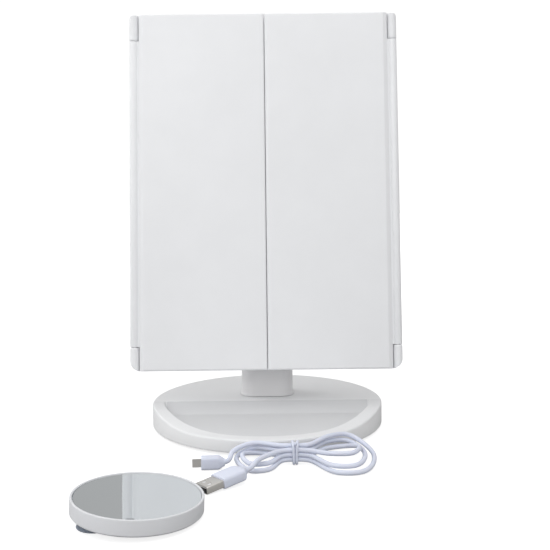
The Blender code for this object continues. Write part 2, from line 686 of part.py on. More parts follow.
def make_wing_frame(side, word, parent):
    """The frame and its mirrors: two in the left wing, one in the right."""
    (left, right), (bottom, top) = wing_inside(side, GAP)
    low, high = bottom + FRAME_BAR, top - FRAME_BAR
    if side < 0:
        panes = (("_lower", low, LEFT_SPLIT_Z - SPLIT_HALF),
                 ("_upper", LEFT_SPLIT_Z + SPLIT_HALF, high))
    else:
        panes = (("", low, high),)
    frame = block((left, right), (SEAT_FRONT + GAP, 7.8), (bottom, top))
    for _, low, high in panes:
        cut(frame, block((left + FRAME_BAR, right - FRAME_BAR), (0, 20), (low, high)))
    finish_panel(frame, "wing_frame_" + word, WHITE_INNER, parent)
    inset = FRAME_BAR + GAP
    for suffix, low, high in panes:
        glass = block((left + inset, right - inset), (3.6, 7.2), (low + GAP, high - GAP))
        finish_panel(glass, "wing_mirror_" + word + suffix, MIRROR, parent)


def make_pins(parent):
    """Each pin is centred on the gap between a lug and the wing's barrel."""
    for side, word in SIDES:
        for where, mid in (("lower", LUG_BOTTOM + GAP / 2), ("upper", PANEL_H - LUG_TOP - GAP / 2)):
            pin = rod("z", (side * HINGE_X, HINGE_Y), HINGE_PIN_R,
                      *around(mid, HINGE_PIN_HALF_L), 10)
            finish_panel(pin, "wing_pin_%s_%s" % (word, where), STEEL, parent, smooth=True)


# ------------------------------------------------------------------ spot mirror
SPOT_X, SPOT_Y, SPOT_LIFT = -64.2, -171.0, 2.95
SPOT_R, SPOT_T = 33.3, 8.6
SPOT_LEAN = math.radians(3.2)
# The spot mirror leans: its two left cups are less squashed than the right one.
SPOT_FRAME = (Matrix.Translation((SPOT_X, SPOT_Y, SPOT_LIFT))
              @ Matrix.Rotation(SPOT_LEAN, 4, "Y"))
CUP_RING = 20.8
CUPS = [(SPOT_X + CUP_RING * math.cos(math.radians(angle)),
         SPOT_Y + CUP_RING * math.sin(math.radians(angle))) for angle in (210, 135, 0)]
SPOT_GLASS_R, SPOT_DISH = SPOT_R - 1.6, 0.9
# radius, z
SPOT_PROFILE = (
    (0, 0), (SPOT_R - 0.9, 0), (SPOT_R - 0.25, 0.3), (SPOT_R, 1.0),
    (SPOT_R, SPOT_T - 0.7), (SPOT_R - 0.4, SPOT_T), (SPOT_R - 1.1, SPOT_T),
    (SPOT_R - 1.3, SPOT_T - 0.3), (SPOT_R - 1.3, 5.0), (SPOT_R - 4.0, 5.0),
    (SPOT_R - 4.0, 2.1), (0, 2.1))


def make_spot_housing(parent):
    housing = place(lathe(SPOT_PROFILE, 56), SPOT_FRAME)
    for centre in CUPS:
        cut(housing, rod("z", centre, 2.5, 0, 7.2, 12))
    finish(housing, "spot_mirror_housing", WHITE, parent, smooth=True)


def make_spot_glass(parent):
    rim_z = SPOT_T - 0.5
    dish = [(SPOT_GLASS_R * f, rim_z - SPOT_DISH * (1 - f * f)) for f in (1.0, 0.75, 0.5, 0.25)]
    profile = [(0, 5.3), (SPOT_GLASS_R, 5.3)] + dish + [(0, rim_z - SPOT_DISH)]
    glass = place(lathe(profile, 56), SPOT_FRAME)
    finish(glass, "spot_mirror_glass", MIRROR, parent, smooth=True)


def make_suction_cups(parent):
    for i, (x, y) in enumerate(CUPS, 1):
        # Height of the leaning underside above this cup.
        foot = SPOT_LIFT + (SPOT_X - x) * math.sin(SPOT_LEAN)
        profile = [(0, 0.75), (3.0, 0.65), (9.4, 0.0), (10.0, 0.0), (10.0, 0.4),
                   (6.5, min(1.5, foot - 0.8)), (3.6, foot - 0.5), (2.1, foot - 0.4),
                   (2.1, foot + 2.7), (0, foot + 2.7)]
        finish(lathe(profile, 24, x, y), "suction_cup_%d" % i, CUP, parent, smooth=True)


# ------------------------------------------------------------------ cord
CORD_R = 1.36
CORD_BORE_R = CORD_R + 0.5
CORD_STEP = 4.6
TIE_X, TIE_Y = 17.0, -93.1
TIE_HALF_D, TIE_Z, TIE_CORNER_R, TIE_R = 4.15, (0.85, 13.1), 2.4, 0.8

# The cord is gathered at the tie and spreads into a wide right loop and a small left one.
# Cord centre points, x, y, z, one row for each of the three turns.
LEFT_LOOPS = (
    ((-8.5, -86.2, 10.8),),
    ((2.0, -106.5, 1.6), (-9.0, -109.0, 1.5), (-18.0, -90.0, 3.6), (-8.5, -84.6, 7.4)),
    ((2.0, -104.0, 4.5), (-9.5, -105.0, 4.4), (-14.3, -92.0, 6.0), (-5.0, -85.4, 4.5)))
RIGHT_LOOPS = (
    ((38.0, -78.5, 12.3), (51.0, -70.5, 10.6), (64.0, -88.0, 4.4), (56.5, -112.0, 1.7),
     (40.0, -113.5, 1.6)),
    ((37.0, -78.0, 8.9), (49.5, -71.8, 7.4), (58.6, -90.0, 5.6), (52.0, -110.5, 4.7),
     (38.5, -110.5, 4.6)),
    ((36.5, -81.5, 5.6), (47.5, -77.5, 5.6), (55.5, -88.5, 8.8), (50.5, -101.0, 8.8),
     (37.5, -101.0, 8.6)))
# height in the tie per turn, behind and in front
TIE_BACK_Z, TIE_FRONT_Z = (10.7, 7.8, 4.9), (3.3, 6.2, 9.1)
# x and y from the tie, z from the height in the tie
TIE_BACK_PASS = ((-8, 2.0, -0.1), (0, 1.7, 0), (8, 2.3, 0))
TIE_FRONT_PASS = ((8, -2.5, -0.2), (0, -1.7, 0), (-8, -2.9, -0.2))
MICRO_LEAD = ((-21.6, -97.2, 5.0), (-20.2, -92.0, 7.6))
USB_LEAD = ((1.5, -103.0, 8.9), (-5.0, -110.5, 8.2))


def plug_frame(at, heading=0.0, pitch=0.0, roll=0.0):
    """Plug axes: origin at the back of the grip, +x from the metal tip towards the cord,
    rising with the pitch. Angles are in degrees."""
    return (Matrix.Translation(at) @ Matrix.Rotation(math.radians(heading), 4, "Z")
            @ Matrix.Rotation(-math.radians(pitch), 4, "Y")
            @ Matrix.Rotation(math.radians(roll), 4, "X"))


USB_FRAME = plug_frame((-11.8, -120.0, 5.7), heading=40.0, pitch=6.5, roll=-1.5)
MICRO_FRAME = plug_frame((-24.4, -100.4, 4.05), heading=4.0, roll=90.0)


def cord_keys():
    """Places the cord passes, from the micro USB plug to the USB-A plug."""
    keys = [tuple(MICRO_FRAME @ Vector((x, 0, 0))) for x in (-3.5, 0.5)]
    keys += MICRO_LEAD
    for left, right, back_z, front_z in zip(LEFT_LOOPS, RIGHT_LOOPS, TIE_BACK_Z, TIE_FRONT_Z):
        keys += left
        keys += [(TIE_X + x, TIE_Y + y, back_z + z) for x, y, z in TIE_BACK_PASS]
        keys += right
        keys += [(TIE_X + x, TIE_Y + y, front_z + z) for x, y, z in TIE_FRONT_PASS]
    keys += USB_LEAD
    return keys + [tuple(USB_FRAME @ Vector((x, 0, 0))) for x in (4.0, 0.5, -3.5)]


def blend(start, end, t, t_start, t_end):
    span = t_end - t_start
    return (t_end - t) / span * start + (t - t_start) / span * end


def smooth_path(keys):
    """Centripetal Catmull-Rom through the keys, resampled at an even step."""
    points = [np.array(key, float) for key in keys]
    points = [2 * points[0] - points[1]] + points + [2 * points[-1] - points[-2]]
    curve = []
    for quad in zip(points, points[1:], points[2:], points[3:]):
        knots = [0.0]
        for start, end in zip(quad, quad[1:]):
            knots.append(knots[-1] + np.linalg.norm(end - start) ** 0.5)
        for k in range(16):
            t = knots[1] + (knots[2] - knots[1]) * k / 16
            level = quad
            # Three rounds of blending reduce the four points to one.
            for reach, first in ((1, 0), (2, 0), (1, 1)):
                level = [blend(level[i], level[i + 1], t, knots[first + i],
                               knots[first + i + reach]) for i in range(len(level) - 1)]
            curve.append(level[0])
    curve.append(points[-2])
    curve = np.array(curve)
    lengths = np.linalg.norm(np.diff(curve, axis=0), axis=1)
    run = np.concatenate([[0], np.cumsum(lengths)])
    even = np.linspace(0, run[-1], int(round(run[-1] / CORD_STEP)) + 1)
    return np.stack([np.interp(even, run, curve[:, i]) for i in range(3)], axis=1)


def make_cord(parent):
    cord = tube(smooth_path(cord_keys()), CORD_R, 8)
    finish(cord, "cable_cord", CORD, parent, smooth=True)


def make_tie(parent):
    outline = rounded_rect(around(TIE_Y, TIE_HALF_D), TIE_Z, (TIE_CORNER_R,) * 4, 3)
    tie = tube([(TIE_X, y, z) for y, z in outline], TIE_R, 6, closed=True)
    finish(tie, "cable_tie", CORD, parent, smooth=True)


def plug_grip(length, half_w, half_t, taper):
    """Moulded grip from x=-length to 0, narrowing to the cord over the last taper."""
    # x, share of the width, share of the thickness
    stations = ((-length, 0.93, 0.9), (-length + 0.8, 1.0, 1.0), (-taper, 1.0, 1.0),
                (-taper * 0.45, 0.82, 0.84), (0.0, 0.5, 0.6))
    least = CORD_BORE_R + 1.1
    rings = []
    for x, w_share, t_share in stations:
        wide, thick = max(half_w * w_share, least), max(half_t * t_share, least)
        outline = rounded_rect(around(0, wide), around(0, thick), (min(wide, thick) * 0.55,) * 4, 3)
        rings.append([(x, y, z) for y, z in outline])
    return cut(loft(rings), rod("x", (0, 0), CORD_BORE_R, -taper * 0.45 - 3.6, 5, 12))


def make_usb_plug(parent):
    grip = plug_grip(length=19.0, half_w=6.6, half_t=3.1, taper=5.0)
    finish(place(grip, USB_FRAME), "usb_a_grip", CORD, parent, smooth=True)
    shell = block((-30.4, -19.3), (-5.5, 5.5), (-2.05, 2.05))
    cut(shell, block((-50, -20.0), (-5.1, 5.1), (-1.65, 1.65)))
    # Two windows through the shell's broad faces.
    for y in (-2.5, 2.5):
        cut(shell, block((-27.4, -25.2), around(y, 1.1), (-10, 10)))
    finish(place(shell, USB_FRAME), "usb_a_shell", STEEL, parent)
    tongue = block((-29.8, -20.4), (-4.8, 4.8), (-1.3, 0.0))
    finish(place(tongue, USB_FRAME), "usb_a_tongue", BLACK, parent)


def micro_outline(half_w, half_t, shoulder, chamfer):
    """Micro USB section (y, z): a rectangle with its two lower corners cut off."""
    return [(-half_w, half_t), (-half_w, shoulder), (-half_w + chamfer, -half_t),
            (half_w - chamfer, -half_t), (half_w, shoulder), (half_w, half_t)]


def make_micro_plug(parent):
    grip = plug_grip(length=13.8, half_w=3.9, half_t=3.1, taper=3.6)
    finish(place(grip, MICRO_FRAME), "micro_usb_grip", CORD, parent, smooth=True)
    half_w, half_t, wall = 2.45, 0.9, 0.35
    tip = prism(micro_outline(half_w, half_t, 0.1, 0.7), "x", -19.0, -14.1)
    cut(tip, prism(micro_outline(half_w - wall, half_t - wall, 0.15, 0.6), "x", -30, -14.8))
    finish(place(tip, MICRO_FRAME), "micro_usb_shell", STEEL, parent)


def main():
    clear_scene()
    for make in (make_base_cover, make_base_plate, make_base_screws, make_grip_pad,
                 make_neck_column, make_neck_cover, make_tilt_pin):
        make()

    tilt = axis_empty("axis_tilt", (0.0, TILT_Y, TILT_Z), -TILT)
    for make in (make_housing, make_bezel, make_centre_mirror, make_diffuser, make_led_board,
                 make_touch_pad, make_control_board, make_charging_socket, make_cells,
                 make_housing_screws, make_tilt_fittings, make_pins):
        make(tilt)
    make_switch(panel_empty("axis_switch", CONTROLS_X, HOUSING_BACK, SWITCH_Z))
    make_battery_cover(panel_empty("axis_battery_cover", 0.0, BUMP_BACK, BUMP_MID_Z))
    for side, word in SIDES:
        hinge = panel_empty("axis_wing_" + word, side * HINGE_X, HINGE_Y, PANEL_H / 2)
        make_wing_shell(side, word, hinge)
        make_wing_frame(side, word, hinge)

    spot = axis_empty("axis_spot_mirror", (SPOT_X, SPOT_Y, 0.0))
    for make in (make_spot_housing, make_spot_glass, make_suction_cups):
        make(spot)
    cable = axis_empty("axis_cable", (TIE_X, TIE_Y, 0.0))
    for make in (make_cord, make_tie, make_usb_plug, make_micro_plug):
        make(cable)


main()
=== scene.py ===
# Tabletop make-up mirror: a round base with a sunken tray, a neck, a lit centre mirror with two
# wings, a small round mirror on suction cups and a coiled USB cord.
# The scene is in metres, +Z up, with the front towards -Y and the left towards -X.
# Lengths are in millimetres unless a name or comment says otherwise. The panel and its wings are
# built in the panel's own frame: x across, y towards the back, z up from the middle of the bottom
# edge. There the wings lie folded over the front, with their outer faces at y = 0.
import json
import math

import bmesh
import bpy
import numpy as np
from mathutils import Matrix, Vector


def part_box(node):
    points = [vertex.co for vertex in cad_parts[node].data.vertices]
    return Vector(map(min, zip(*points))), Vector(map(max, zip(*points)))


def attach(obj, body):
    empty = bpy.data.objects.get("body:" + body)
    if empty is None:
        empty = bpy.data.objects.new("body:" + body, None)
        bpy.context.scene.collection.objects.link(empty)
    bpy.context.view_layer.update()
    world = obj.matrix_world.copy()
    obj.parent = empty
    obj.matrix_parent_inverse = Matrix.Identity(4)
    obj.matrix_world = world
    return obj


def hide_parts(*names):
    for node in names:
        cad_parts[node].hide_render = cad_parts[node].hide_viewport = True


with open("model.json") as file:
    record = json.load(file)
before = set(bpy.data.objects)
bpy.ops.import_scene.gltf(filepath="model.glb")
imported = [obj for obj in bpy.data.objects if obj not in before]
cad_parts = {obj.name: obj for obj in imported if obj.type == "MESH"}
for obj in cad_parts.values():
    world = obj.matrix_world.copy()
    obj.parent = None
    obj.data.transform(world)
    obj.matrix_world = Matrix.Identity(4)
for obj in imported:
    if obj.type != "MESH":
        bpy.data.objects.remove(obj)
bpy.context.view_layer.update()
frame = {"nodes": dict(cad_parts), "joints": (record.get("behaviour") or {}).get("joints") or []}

MM = 0.001
NODES = frame["nodes"]
JOINTS = {joint["name"]: joint for joint in frame["joints"]}
IDENTITY = Matrix.Identity(4)
SIDES = ((-1, "left"), (1, "right"))
CLEARANCE = 0.3   # gap round a part that sits in a seat


# ---------------------------------------------------------------- the panel's own frame
PANEL_H = 245.2
HINGE_IN, HINGE_Y = 3.2, 4.2   # hinge axis: in from the panel's side, and back from y = 0
left_hinge = Vector(JOINTS["wing_left_swing"]["pos_m"])
right_hinge = Vector(JOINTS["wing_right_swing"]["pos_m"])
UP = Vector(JOINTS["wing_right_swing"]["axis"]).normalized()
ACROSS = (right_hinge - left_hinge).normalized()
BACK = UP.cross(ACROSS).normalized()
HALF = (right_hinge - left_hinge).length / 2 / MM + HINGE_IN   # half the panel's width
ORIGIN = (left_hinge + right_hinge) / 2 - UP * (PANEL_H / 2 * MM) - BACK * (HINGE_Y * MM)
PANEL = Matrix((
    (ACROSS.x, BACK.x, UP.x, ORIGIN.x),
    (ACROSS.y, BACK.y, UP.y, ORIGIN.y),
    (ACROSS.z, BACK.z, UP.z, ORIGIN.z),
    (0, 0, 0, 1)))
TILT_AT = Vector(JOINTS["panel_tilt"]["pos_m"])
tilt_in_panel = PANEL.inverted() @ TILT_AT
TILT_Y, TILT_Z = tilt_in_panel.y / MM, tilt_in_panel.z / MM


# ---------------------------------------------------------------- outlines
def circle(centre_a, centre_b, radius, count):
    return [(centre_a + radius * math.cos(2 * math.pi * i / count),
             centre_b + radius * math.sin(2 * math.pi * i / count)) for i in range(count)]


def shrink(box, inset):
    """A (left, right, low, high) box with every side moved in."""
    left, right, low, high = box
    return left + inset, right - inset, low + inset, high - inset


def rounded_rect(box, radius, steps):
    """radius is one number or (low-left, low-right, high-right, high-left)."""
    left, right, low, high = box
    radii = radius if isinstance(radius, tuple) else (radius,) * 4
    corners = [(left + radii[0], low + radii[0], math.pi),
               (right - radii[1], low + radii[1], 1.5 * math.pi),
               (right - radii[2], high - radii[2], 0.0),
               (left + radii[3], high - radii[3], 0.5 * math.pi)]
    outline = []
    for (centre_a, centre_b, start), corner in zip(corners, radii):
        for k in range(steps + 1):
            angle = start + 0.5 * math.pi * k / steps
            outline.append((centre_a + corner * math.cos(angle),
                            centre_b + corner * math.sin(angle)))
    return outline


def inset_rect(box, radius, steps, least=None):
    """Function from inset to outline. The corners shrink too, down to least, if that is given."""
    def outline_at(inset):
        corner = radius if least is None else max(radius - inset, least)
        return rounded_rect(shrink(box, inset), corner, steps)
    return outline_at


def inset_circle(centre_a, centre_b, radius, count):
    return lambda inset: circle(centre_a, centre_b, radius - inset, count)


def on(axis, place, outline):
    """Stands a flat outline at a place along an axis."""
    if axis == "x":
        return [(place, a, b) for a, b in outline]
    if axis == "y":
        return [(a, place, b) for a, b in outline]
    return [(a, b, place) for a, b in outline]


def quarter_round(radius, steps):
    """(inset, height) pairs of a quarter round, from the side up to the face."""
    return [(radius - radius * math.cos(math.pi / 2 * k / steps),
             radius * math.sin(math.pi / 2 * k / steps)) for k in range(steps + 1)]


def rim_rings(outline_at, axis, face, outward, radius, steps):
    """Rings of a rounded rim, ending on the face; outward is the way it looks, +1 or -1."""
    if radius <= 0:
        return [on(axis, face, outline_at(0.0))]
    return [on(axis, face - outward * (radius - height), outline_at(inset))
            for inset, height in quarter_round(radius, steps)]


def round_profile(points, radius_at, steps):
    """Fillets the corners of an open polyline; radius_at maps corner number to radius."""
    rounded = []
    for i, point in enumerate(points):
        radius = radius_at.get(i, 0.0)
        if radius <= 0 or i in (0, len(points) - 1):
            rounded.append(point)
            continue
        corner = Vector(point)
        before = Vector(points[i - 1]) - corner
        after = Vector(points[i + 1]) - corner
        length_before, length_after = before.length, after.length
        before.normalize()
        after.normalize()
        half = math.acos(max(-1, min(1, before.dot(after)))) / 2
        reach = min(radius / math.tan(half), length_before * 0.49, length_after * 0.49)
        fitted = reach * math.tan(half)
        centre = corner + (before + after).normalized() * (fitted / math.sin(half))
        start, end = corner + before * reach - centre, corner + after * reach - centre
        angle = math.atan2(start.y, start.x)
        turn = (math.atan2(end.y, end.x) - angle + math.pi) % (2 * math.pi) - math.pi
        for k in range(steps + 1):
            at = angle + turn * k / steps
            rounded.append((centre.x + fitted * math.cos(at), centre.y + fitted * math.sin(at)))
    return rounded


# ---------------------------------------------------------------- meshes
def shade(obj, sharp):
    """Smooth shading, with edges above the angle sharp, in degrees, kept crisp."""
    obj.data.shade_smooth()
    obj.data.set_sharp_from_angle(angle=math.radians(sharp))


def make(name, verts, faces, matrix=IDENTITY, sharp=32, mat=None):
    mesh = bpy.data.meshes.new(name)
    edit = bmesh.new()
    points = [edit.verts.new(matrix @ (Vector(v) * MM)) for v in verts]
    for face in faces:
        try:
            edit.faces.new([points[i] for i in face])
        except ValueError:
            pass   # guards against a face that is already there
    bmesh.ops.recalc_face_normals(edit, faces=edit.faces)
    if edit.calc_volume(signed=True) < 0:
        bmesh.ops.reverse_faces(edit, faces=edit.faces)
    edit.to_mesh(mesh)
    edit.free()
    obj = bpy.data.objects.new(name, mesh)
    bpy.context.scene.collection.objects.link(obj)
    shade(obj, sharp)
    if mat is not None:
        mesh.materials.append(mat)
    return obj


def band(low, high, closed=True):
    """Faces between two rows of vertex numbers; a quad at a pole loses its doubled corner."""
    faces = []
    count = len(low)
    for i in range(count if closed else count - 1):
        j = (i + 1) % count
        corners = [low[i], low[j], high[j], high[i]]
        kept = [v for k, v in enumerate(corners) if v != corners[k - 1]]
        if len(kept) > 2:
            faces.append(kept)
    return faces


def loft(name, rings, matrix=IDENTITY, sharp=32, mat=None, closed=False):
    """Skin over rings, with end caps unless the last ring joins the first."""
    count = len(rings[0])
    verts = [point for ring in rings for point in ring]
    loops = [range(k * count, (k + 1) * count) for k in range(len(rings))]
    following = loops[1:] + (loops[:1] if closed else [])
    faces = [face for low, high in zip(loops, following) for face in band(low, high)]
    if not closed:
        faces += [loops[0][::-1], loops[-1]]
    return make(name, verts, faces, matrix, sharp, mat)


def prism(name, outline, axis, low, high, matrix=IDENTITY, mat=None):
    return loft(name, [on(axis, low, outline), on(axis, high, outline)], matrix, mat=mat)


def pad_box(name, spans, radius, matrix, mat=None, steps=3):
    """Block with every edge rounded; spans are its (low, high) along x, y and z."""
    verts = [(x, y, z) for x in spans[0] for y in spans[1] for z in spans[2]]
    faces = [(0, 1, 3, 2), (4, 6, 7, 5), (0, 4, 5, 1), (2, 3, 7, 6), (0, 2, 6, 4), (1, 5, 7, 3)]
    obj = make(name, verts, faces, matrix, 30, mat)
    edit = bmesh.new()
    edit.from_mesh(obj.data)
    bmesh.ops.bevel(edit, geom=list(edit.edges), offset=radius * MM, segments=steps, profile=0.5,
                    affect="EDGES", clamp_overlap=True)
    edit.to_mesh(obj.data)
    edit.free()
    shade(obj, 40)
    return obj


def face_round(name, outline_at, axis, start, end, rim_start, rim_end, matrix, mat,
               steps=4, sharp=40):
    """Prism from start to end whose two end faces have rims rounded to the given radii."""
    outward = 1 if end > start else -1
    rings = rim_rings(outline_at, axis, start, -outward, rim_start, steps)[::-1]
    rings += rim_rings(outline_at, axis, end, outward, rim_end, steps)
    return loft(name, rings, matrix, sharp, mat)


def lathe(name, profile, count, centre=(0.0, 0.0), matrix=IDENTITY, mat=None, sharp=32):
    """Turns a (radius, z) profile about an upright axis."""
    verts, loops = [], []
    for radius, z in profile:
        if radius < 1e-6:
            loops.append([len(verts)] * count)
            verts.append((*centre, z))
        else:
            loops.append([len(verts) + i for i in range(count)])
            verts += [(x, y, z) for x, y in circle(*centre, radius, count)]
    faces = [face for low, high in zip(loops, loops[1:]) for face in band(low, high)]
    return make(name, verts, faces, matrix, sharp, mat)


def sweep(path, radius, count, closed=False):
    """Rings of a tube along a path that doesn't start upright; radius is one number or a list."""
    path = np.asarray(path, float)
    radii = np.broadcast_to(radius, len(path))
    if closed:
        tangent = np.roll(path, -1, 0) - np.roll(path, 1, 0)
    else:
        tangent = np.gradient(path, axis=0)
    tangent /= np.linalg.norm(tangent, axis=1)[:, None]
    normal = np.cross(tangent[0], (0, 0, 1.0))
    normal /= np.linalg.norm(normal)
    rings = []
    for k in range(len(path)):
        normal = normal - tangent[k] * (normal @ tangent[k])
        normal /= np.linalg.norm(normal)
        other = np.cross(tangent[k], normal)
        rings.append([
            tuple(path[k] + radii[k] * (math.cos(angle) * normal + math.sin(angle) * other))
            for angle in [2 * math.pi * i / count for i in range(count)]])
    return rings


def cut(obj, *tools, sharp=None):
    """Subtracts the tools and removes them, then shades the result afresh if sharp is given."""
    for tool in tools:
        boolean = obj.modifiers.new("cut", "BOOLEAN")
        boolean.operation, boolean.solver, boolean.object = "DIFFERENCE", "EXACT", tool
        bpy.context.view_layer.update()
        graph = bpy.context.evaluated_depsgraph_get()
        mesh = bpy.data.meshes.new_from_object(obj.evaluated_get(graph))
        obj.modifiers.clear()
        old = obj.data
        mats = list(old.materials)
        obj.data = mesh
        bpy.data.meshes.remove(old)
        bpy.data.objects.remove(tool, do_unlink=True)
        if len(mesh.materials) == 0:
            for mat in mats:
                mesh.materials.append(mat)
    if sharp is not None:
        shade(obj, sharp)
    return obj


def flared(outline_at, axis, deep, face, flare, matrix=IDENTITY):
    """Cutter from deep to past face, widening by flare at the face to chamfer the hole's rim."""
    outward = 1 if face > deep else -1
    stations = ((deep, 0.0), (face - outward * flare, 0.0),
                (face + outward * 0.05, -flare), (face + outward * 3.0, -flare))
    return loft("cutter", [on(axis, at, outline_at(inset)) for at, inset in stations], matrix)


def put(obj, body, slot, *replaced):
    """Ties a piece to its moving body, and names the CAD nodes it replaces, which it hides; slot
    is not used.
    """
    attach(obj, body)
    if replaced:
        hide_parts(*replaced)


def keep(mat, *names):
    """CAD nodes whose shape stays, with a better material."""
    for name in names:
        node = NODES[name]
        if len(node.data.materials) == 0:
            node.data.materials.append(mat)
        for i in range(len(node.data.materials)):
            node.data.materials[i] = mat
        for slot in node.material_slots:
            slot.material = mat


# ---------------------------------------------------------------- shader helpers
def new_material(name, viewport=None):
    """Returns the material, its tree, its main shader and the object coordinates."""
    mat = bpy.data.materials.new(name)
    mat.use_nodes = True
    if viewport:
        mat.diffuse_color = (*viewport, 1)
    tree = mat.node_tree
    place = add(tree, "ShaderNodeTexCoord").outputs["Object"]
    return mat, tree, tree.nodes["Principled BSDF"], place


def add(tree, kind, **settings):
    """Adds a node; each setting is an input's value or a property."""
    node = tree.nodes.new(kind)
    for key, value in settings.items():
        if key in node.inputs:
            node.inputs[key].default_value = value
        else:
            setattr(node, key, value)
    return node


def set_inputs(node, values):
    for key, value in values.items():
        node.inputs[key].default_value = value


def noise(tree, vector, scale, detail, roughness=0.5):
    node = add(tree, "ShaderNodeTexNoise", Scale=scale, Detail=detail, Roughness=roughness)
    tree.links.new(vector, node.inputs["Vector"])
    return node.outputs["Fac"]


def map_range(tree, source, low, high, span=(0.0, 1.0), kind="LINEAR"):
    """Maps the source's span onto low to high."""
    node = add(tree, "ShaderNodeMapRange", interpolation_type=kind)
    set_inputs(node, {"From Min": span[0], "From Max": span[1], "To Min": low, "To Max": high})
    tree.links.new(source, node.inputs["Value"])
    return node.outputs["Result"]


def add_bump(tree, shader, height, strength, distance):
    """distance is in metres."""
    node = add(tree, "ShaderNodeBump", Strength=strength, Distance=distance)
    tree.links.new(height, node.inputs["Height"])
    tree.links.new(node.outputs["Normal"], shader.inputs["Normal"])


# ---------------------------------------------------------------- materials
def plastic(name, colour, rough, grain=2600.0, grain_depth=0.000012, tone=0.012, coat=0.0,
            specular=0.5, scatter=0.0):
    """Moulded plastic: faint clouds of colour, a fine grain, uneven gloss, and a painted
    highlight that lightens convex edges.
    """
    mat, tree, shader, place = new_material(name, colour)
    cloud = noise(tree, place, scale=38.0, detail=4.0, roughness=0.55)
    shift = map_range(tree, cloud, 1.0 - tone, 1.0 + tone, span=(0.3, 0.7))
    tinted = add(tree, "ShaderNodeVectorMath", operation="SCALE")
    tinted.inputs[0].default_value = colour
    tree.links.new(shift, tinted.inputs["Scale"])
    # painted highlight: the colour is lifted on convex edges, found by pointiness, whatever the
    # light
    pointiness = add(tree, "ShaderNodeNewGeometry").outputs["Pointiness"]
    edge_highlight = map_range(tree, pointiness, 0.0, 0.02, span=(0.52, 0.62))
    edge_highlighted = add(tree, "ShaderNodeVectorMath", operation="ADD")
    tree.links.new(tinted.outputs["Vector"], edge_highlighted.inputs[0])
    tree.links.new(edge_highlight, edge_highlighted.inputs[1])
    tree.links.new(edge_highlighted.outputs["Vector"], shader.inputs["Base Color"])
    smear = noise(tree, place, scale=95.0, detail=5.0, roughness=0.6)
    gloss = map_range(tree, smear, rough - 0.05, rough + 0.06)
    tree.links.new(gloss, shader.inputs["Roughness"])
    fine = noise(tree, place, scale=grain, detail=2.0)
    add_bump(tree, shader, fine, strength=0.35, distance=grain_depth)
    shader.inputs["Specular IOR Level"].default_value = specular
    if coat:
        set_inputs(shader, {"Coat Weight": coat, "Coat Roughness": 0.12})
    if scatter:
        set_inputs(shader, {"Subsurface Weight": scatter,
                            "Subsurface Radius": (0.004, 0.003, 0.0025),
                            "Subsurface Scale": 1.0})
    return mat


def metal(name, colour, rough, streak=(40.0, 40.0, 900.0)):
    """Plated or turned metal with uneven polish; streak is the noise scale along x, y and z."""
    mat, tree, shader, place = new_material(name, colour)
    mapping = add(tree, "ShaderNodeMapping", Scale=streak)
    tree.links.new(place, mapping.inputs["Vector"])
    streaks = noise(tree, mapping.outputs["Vector"], scale=3.0, detail=6.0, roughness=0.6)
    polish = map_range(tree, streaks, rough - 0.07, rough + 0.12)
    tree.links.new(polish, shader.inputs["Roughness"])
    add_bump(tree, shader, streaks, strength=0.3, distance=0.000008)
    set_inputs(shader, {"Base Color": (*colour, 1), "Metallic": 1.0})
    return mat


def mirror_glass(name, tint):
    """Silvered glass: a sharp reflection under a clear face, dulled here and there by dust."""
    mat, tree, shader, place = new_material(name, tint)
    dust = noise(tree, place, scale=260.0, detail=8.0, roughness=0.7)
    haze = map_range(tree, dust, 0.015, 0.05, span=(0.45, 0.75))
    tree.links.new(haze, shader.inputs["Roughness"])
    set_inputs(shader, {"Base Color": (*tint, 1), "Metallic": 1.0,
                        "Coat Weight": 0.25, "Coat Roughness": 0.02})
    return mat


def cup_material():
    """Clear bluish rubber of the suction cups."""
    mat, tree, shader, place = new_material("suction_cup", viewport=(0.5, 0.56, 0.66))
    cloud = noise(tree, place, scale=160.0, detail=3.0)
    tree.links.new(map_range(tree, cloud, 0.14, 0.26), shader.inputs["Roughness"])
    set_inputs(shader, {"Base Color": (0.52, 0.58, 0.68, 1), "Transmission Weight": 0.55,
                        "IOR": 1.42})
    return mat


WHITE = plastic("satin_white", (0.845, 0.852, 0.868), rough=0.38)
BASE_WHITE = plastic("base_white", (0.855, 0.859, 0.866), rough=0.40)
# darker copies of the base white, painted shade: one for the tray floor and slope, one for the
# front rim
TRAY_SHADE_WHITE = plastic("tray_painted_shade", (0.668, 0.672, 0.682), rough=0.40)
RIM_SHADE_WHITE = plastic("rim_painted_shade", (0.79, 0.794, 0.802), rough=0.40)
# darker copy of the white plastic for the small mirror's case: painted shade on its low wall
SPOT_SHADE_WHITE = plastic("spot_painted_shade", (0.70, 0.708, 0.73), rough=0.38)
# darker copy of the white plastic for the neck: painted shade under the panel
NECK_SHADE_WHITE = plastic("neck_painted_shade", (0.778, 0.772, 0.778), rough=0.40)
INNER = plastic("inner_white", (0.80, 0.805, 0.815), rough=0.48)
BLACK = plastic("black_plastic", (0.025, 0.025, 0.027), rough=0.42, tone=0.05)
RUBBER = plastic("grip_rubber", (0.05, 0.05, 0.052), rough=0.82, grain=900.0,
                 grain_depth=0.00006, tone=0.08)
STEEL = metal("plated_steel", (0.64, 0.64, 0.65), rough=0.26)
PLUG_METAL = metal("plug_shell", (0.70, 0.68, 0.645), rough=0.32, streak=(300.0, 300.0, 60.0))
MIRROR = mirror_glass("silvered_glass", tint=(0.90, 0.925, 0.93))
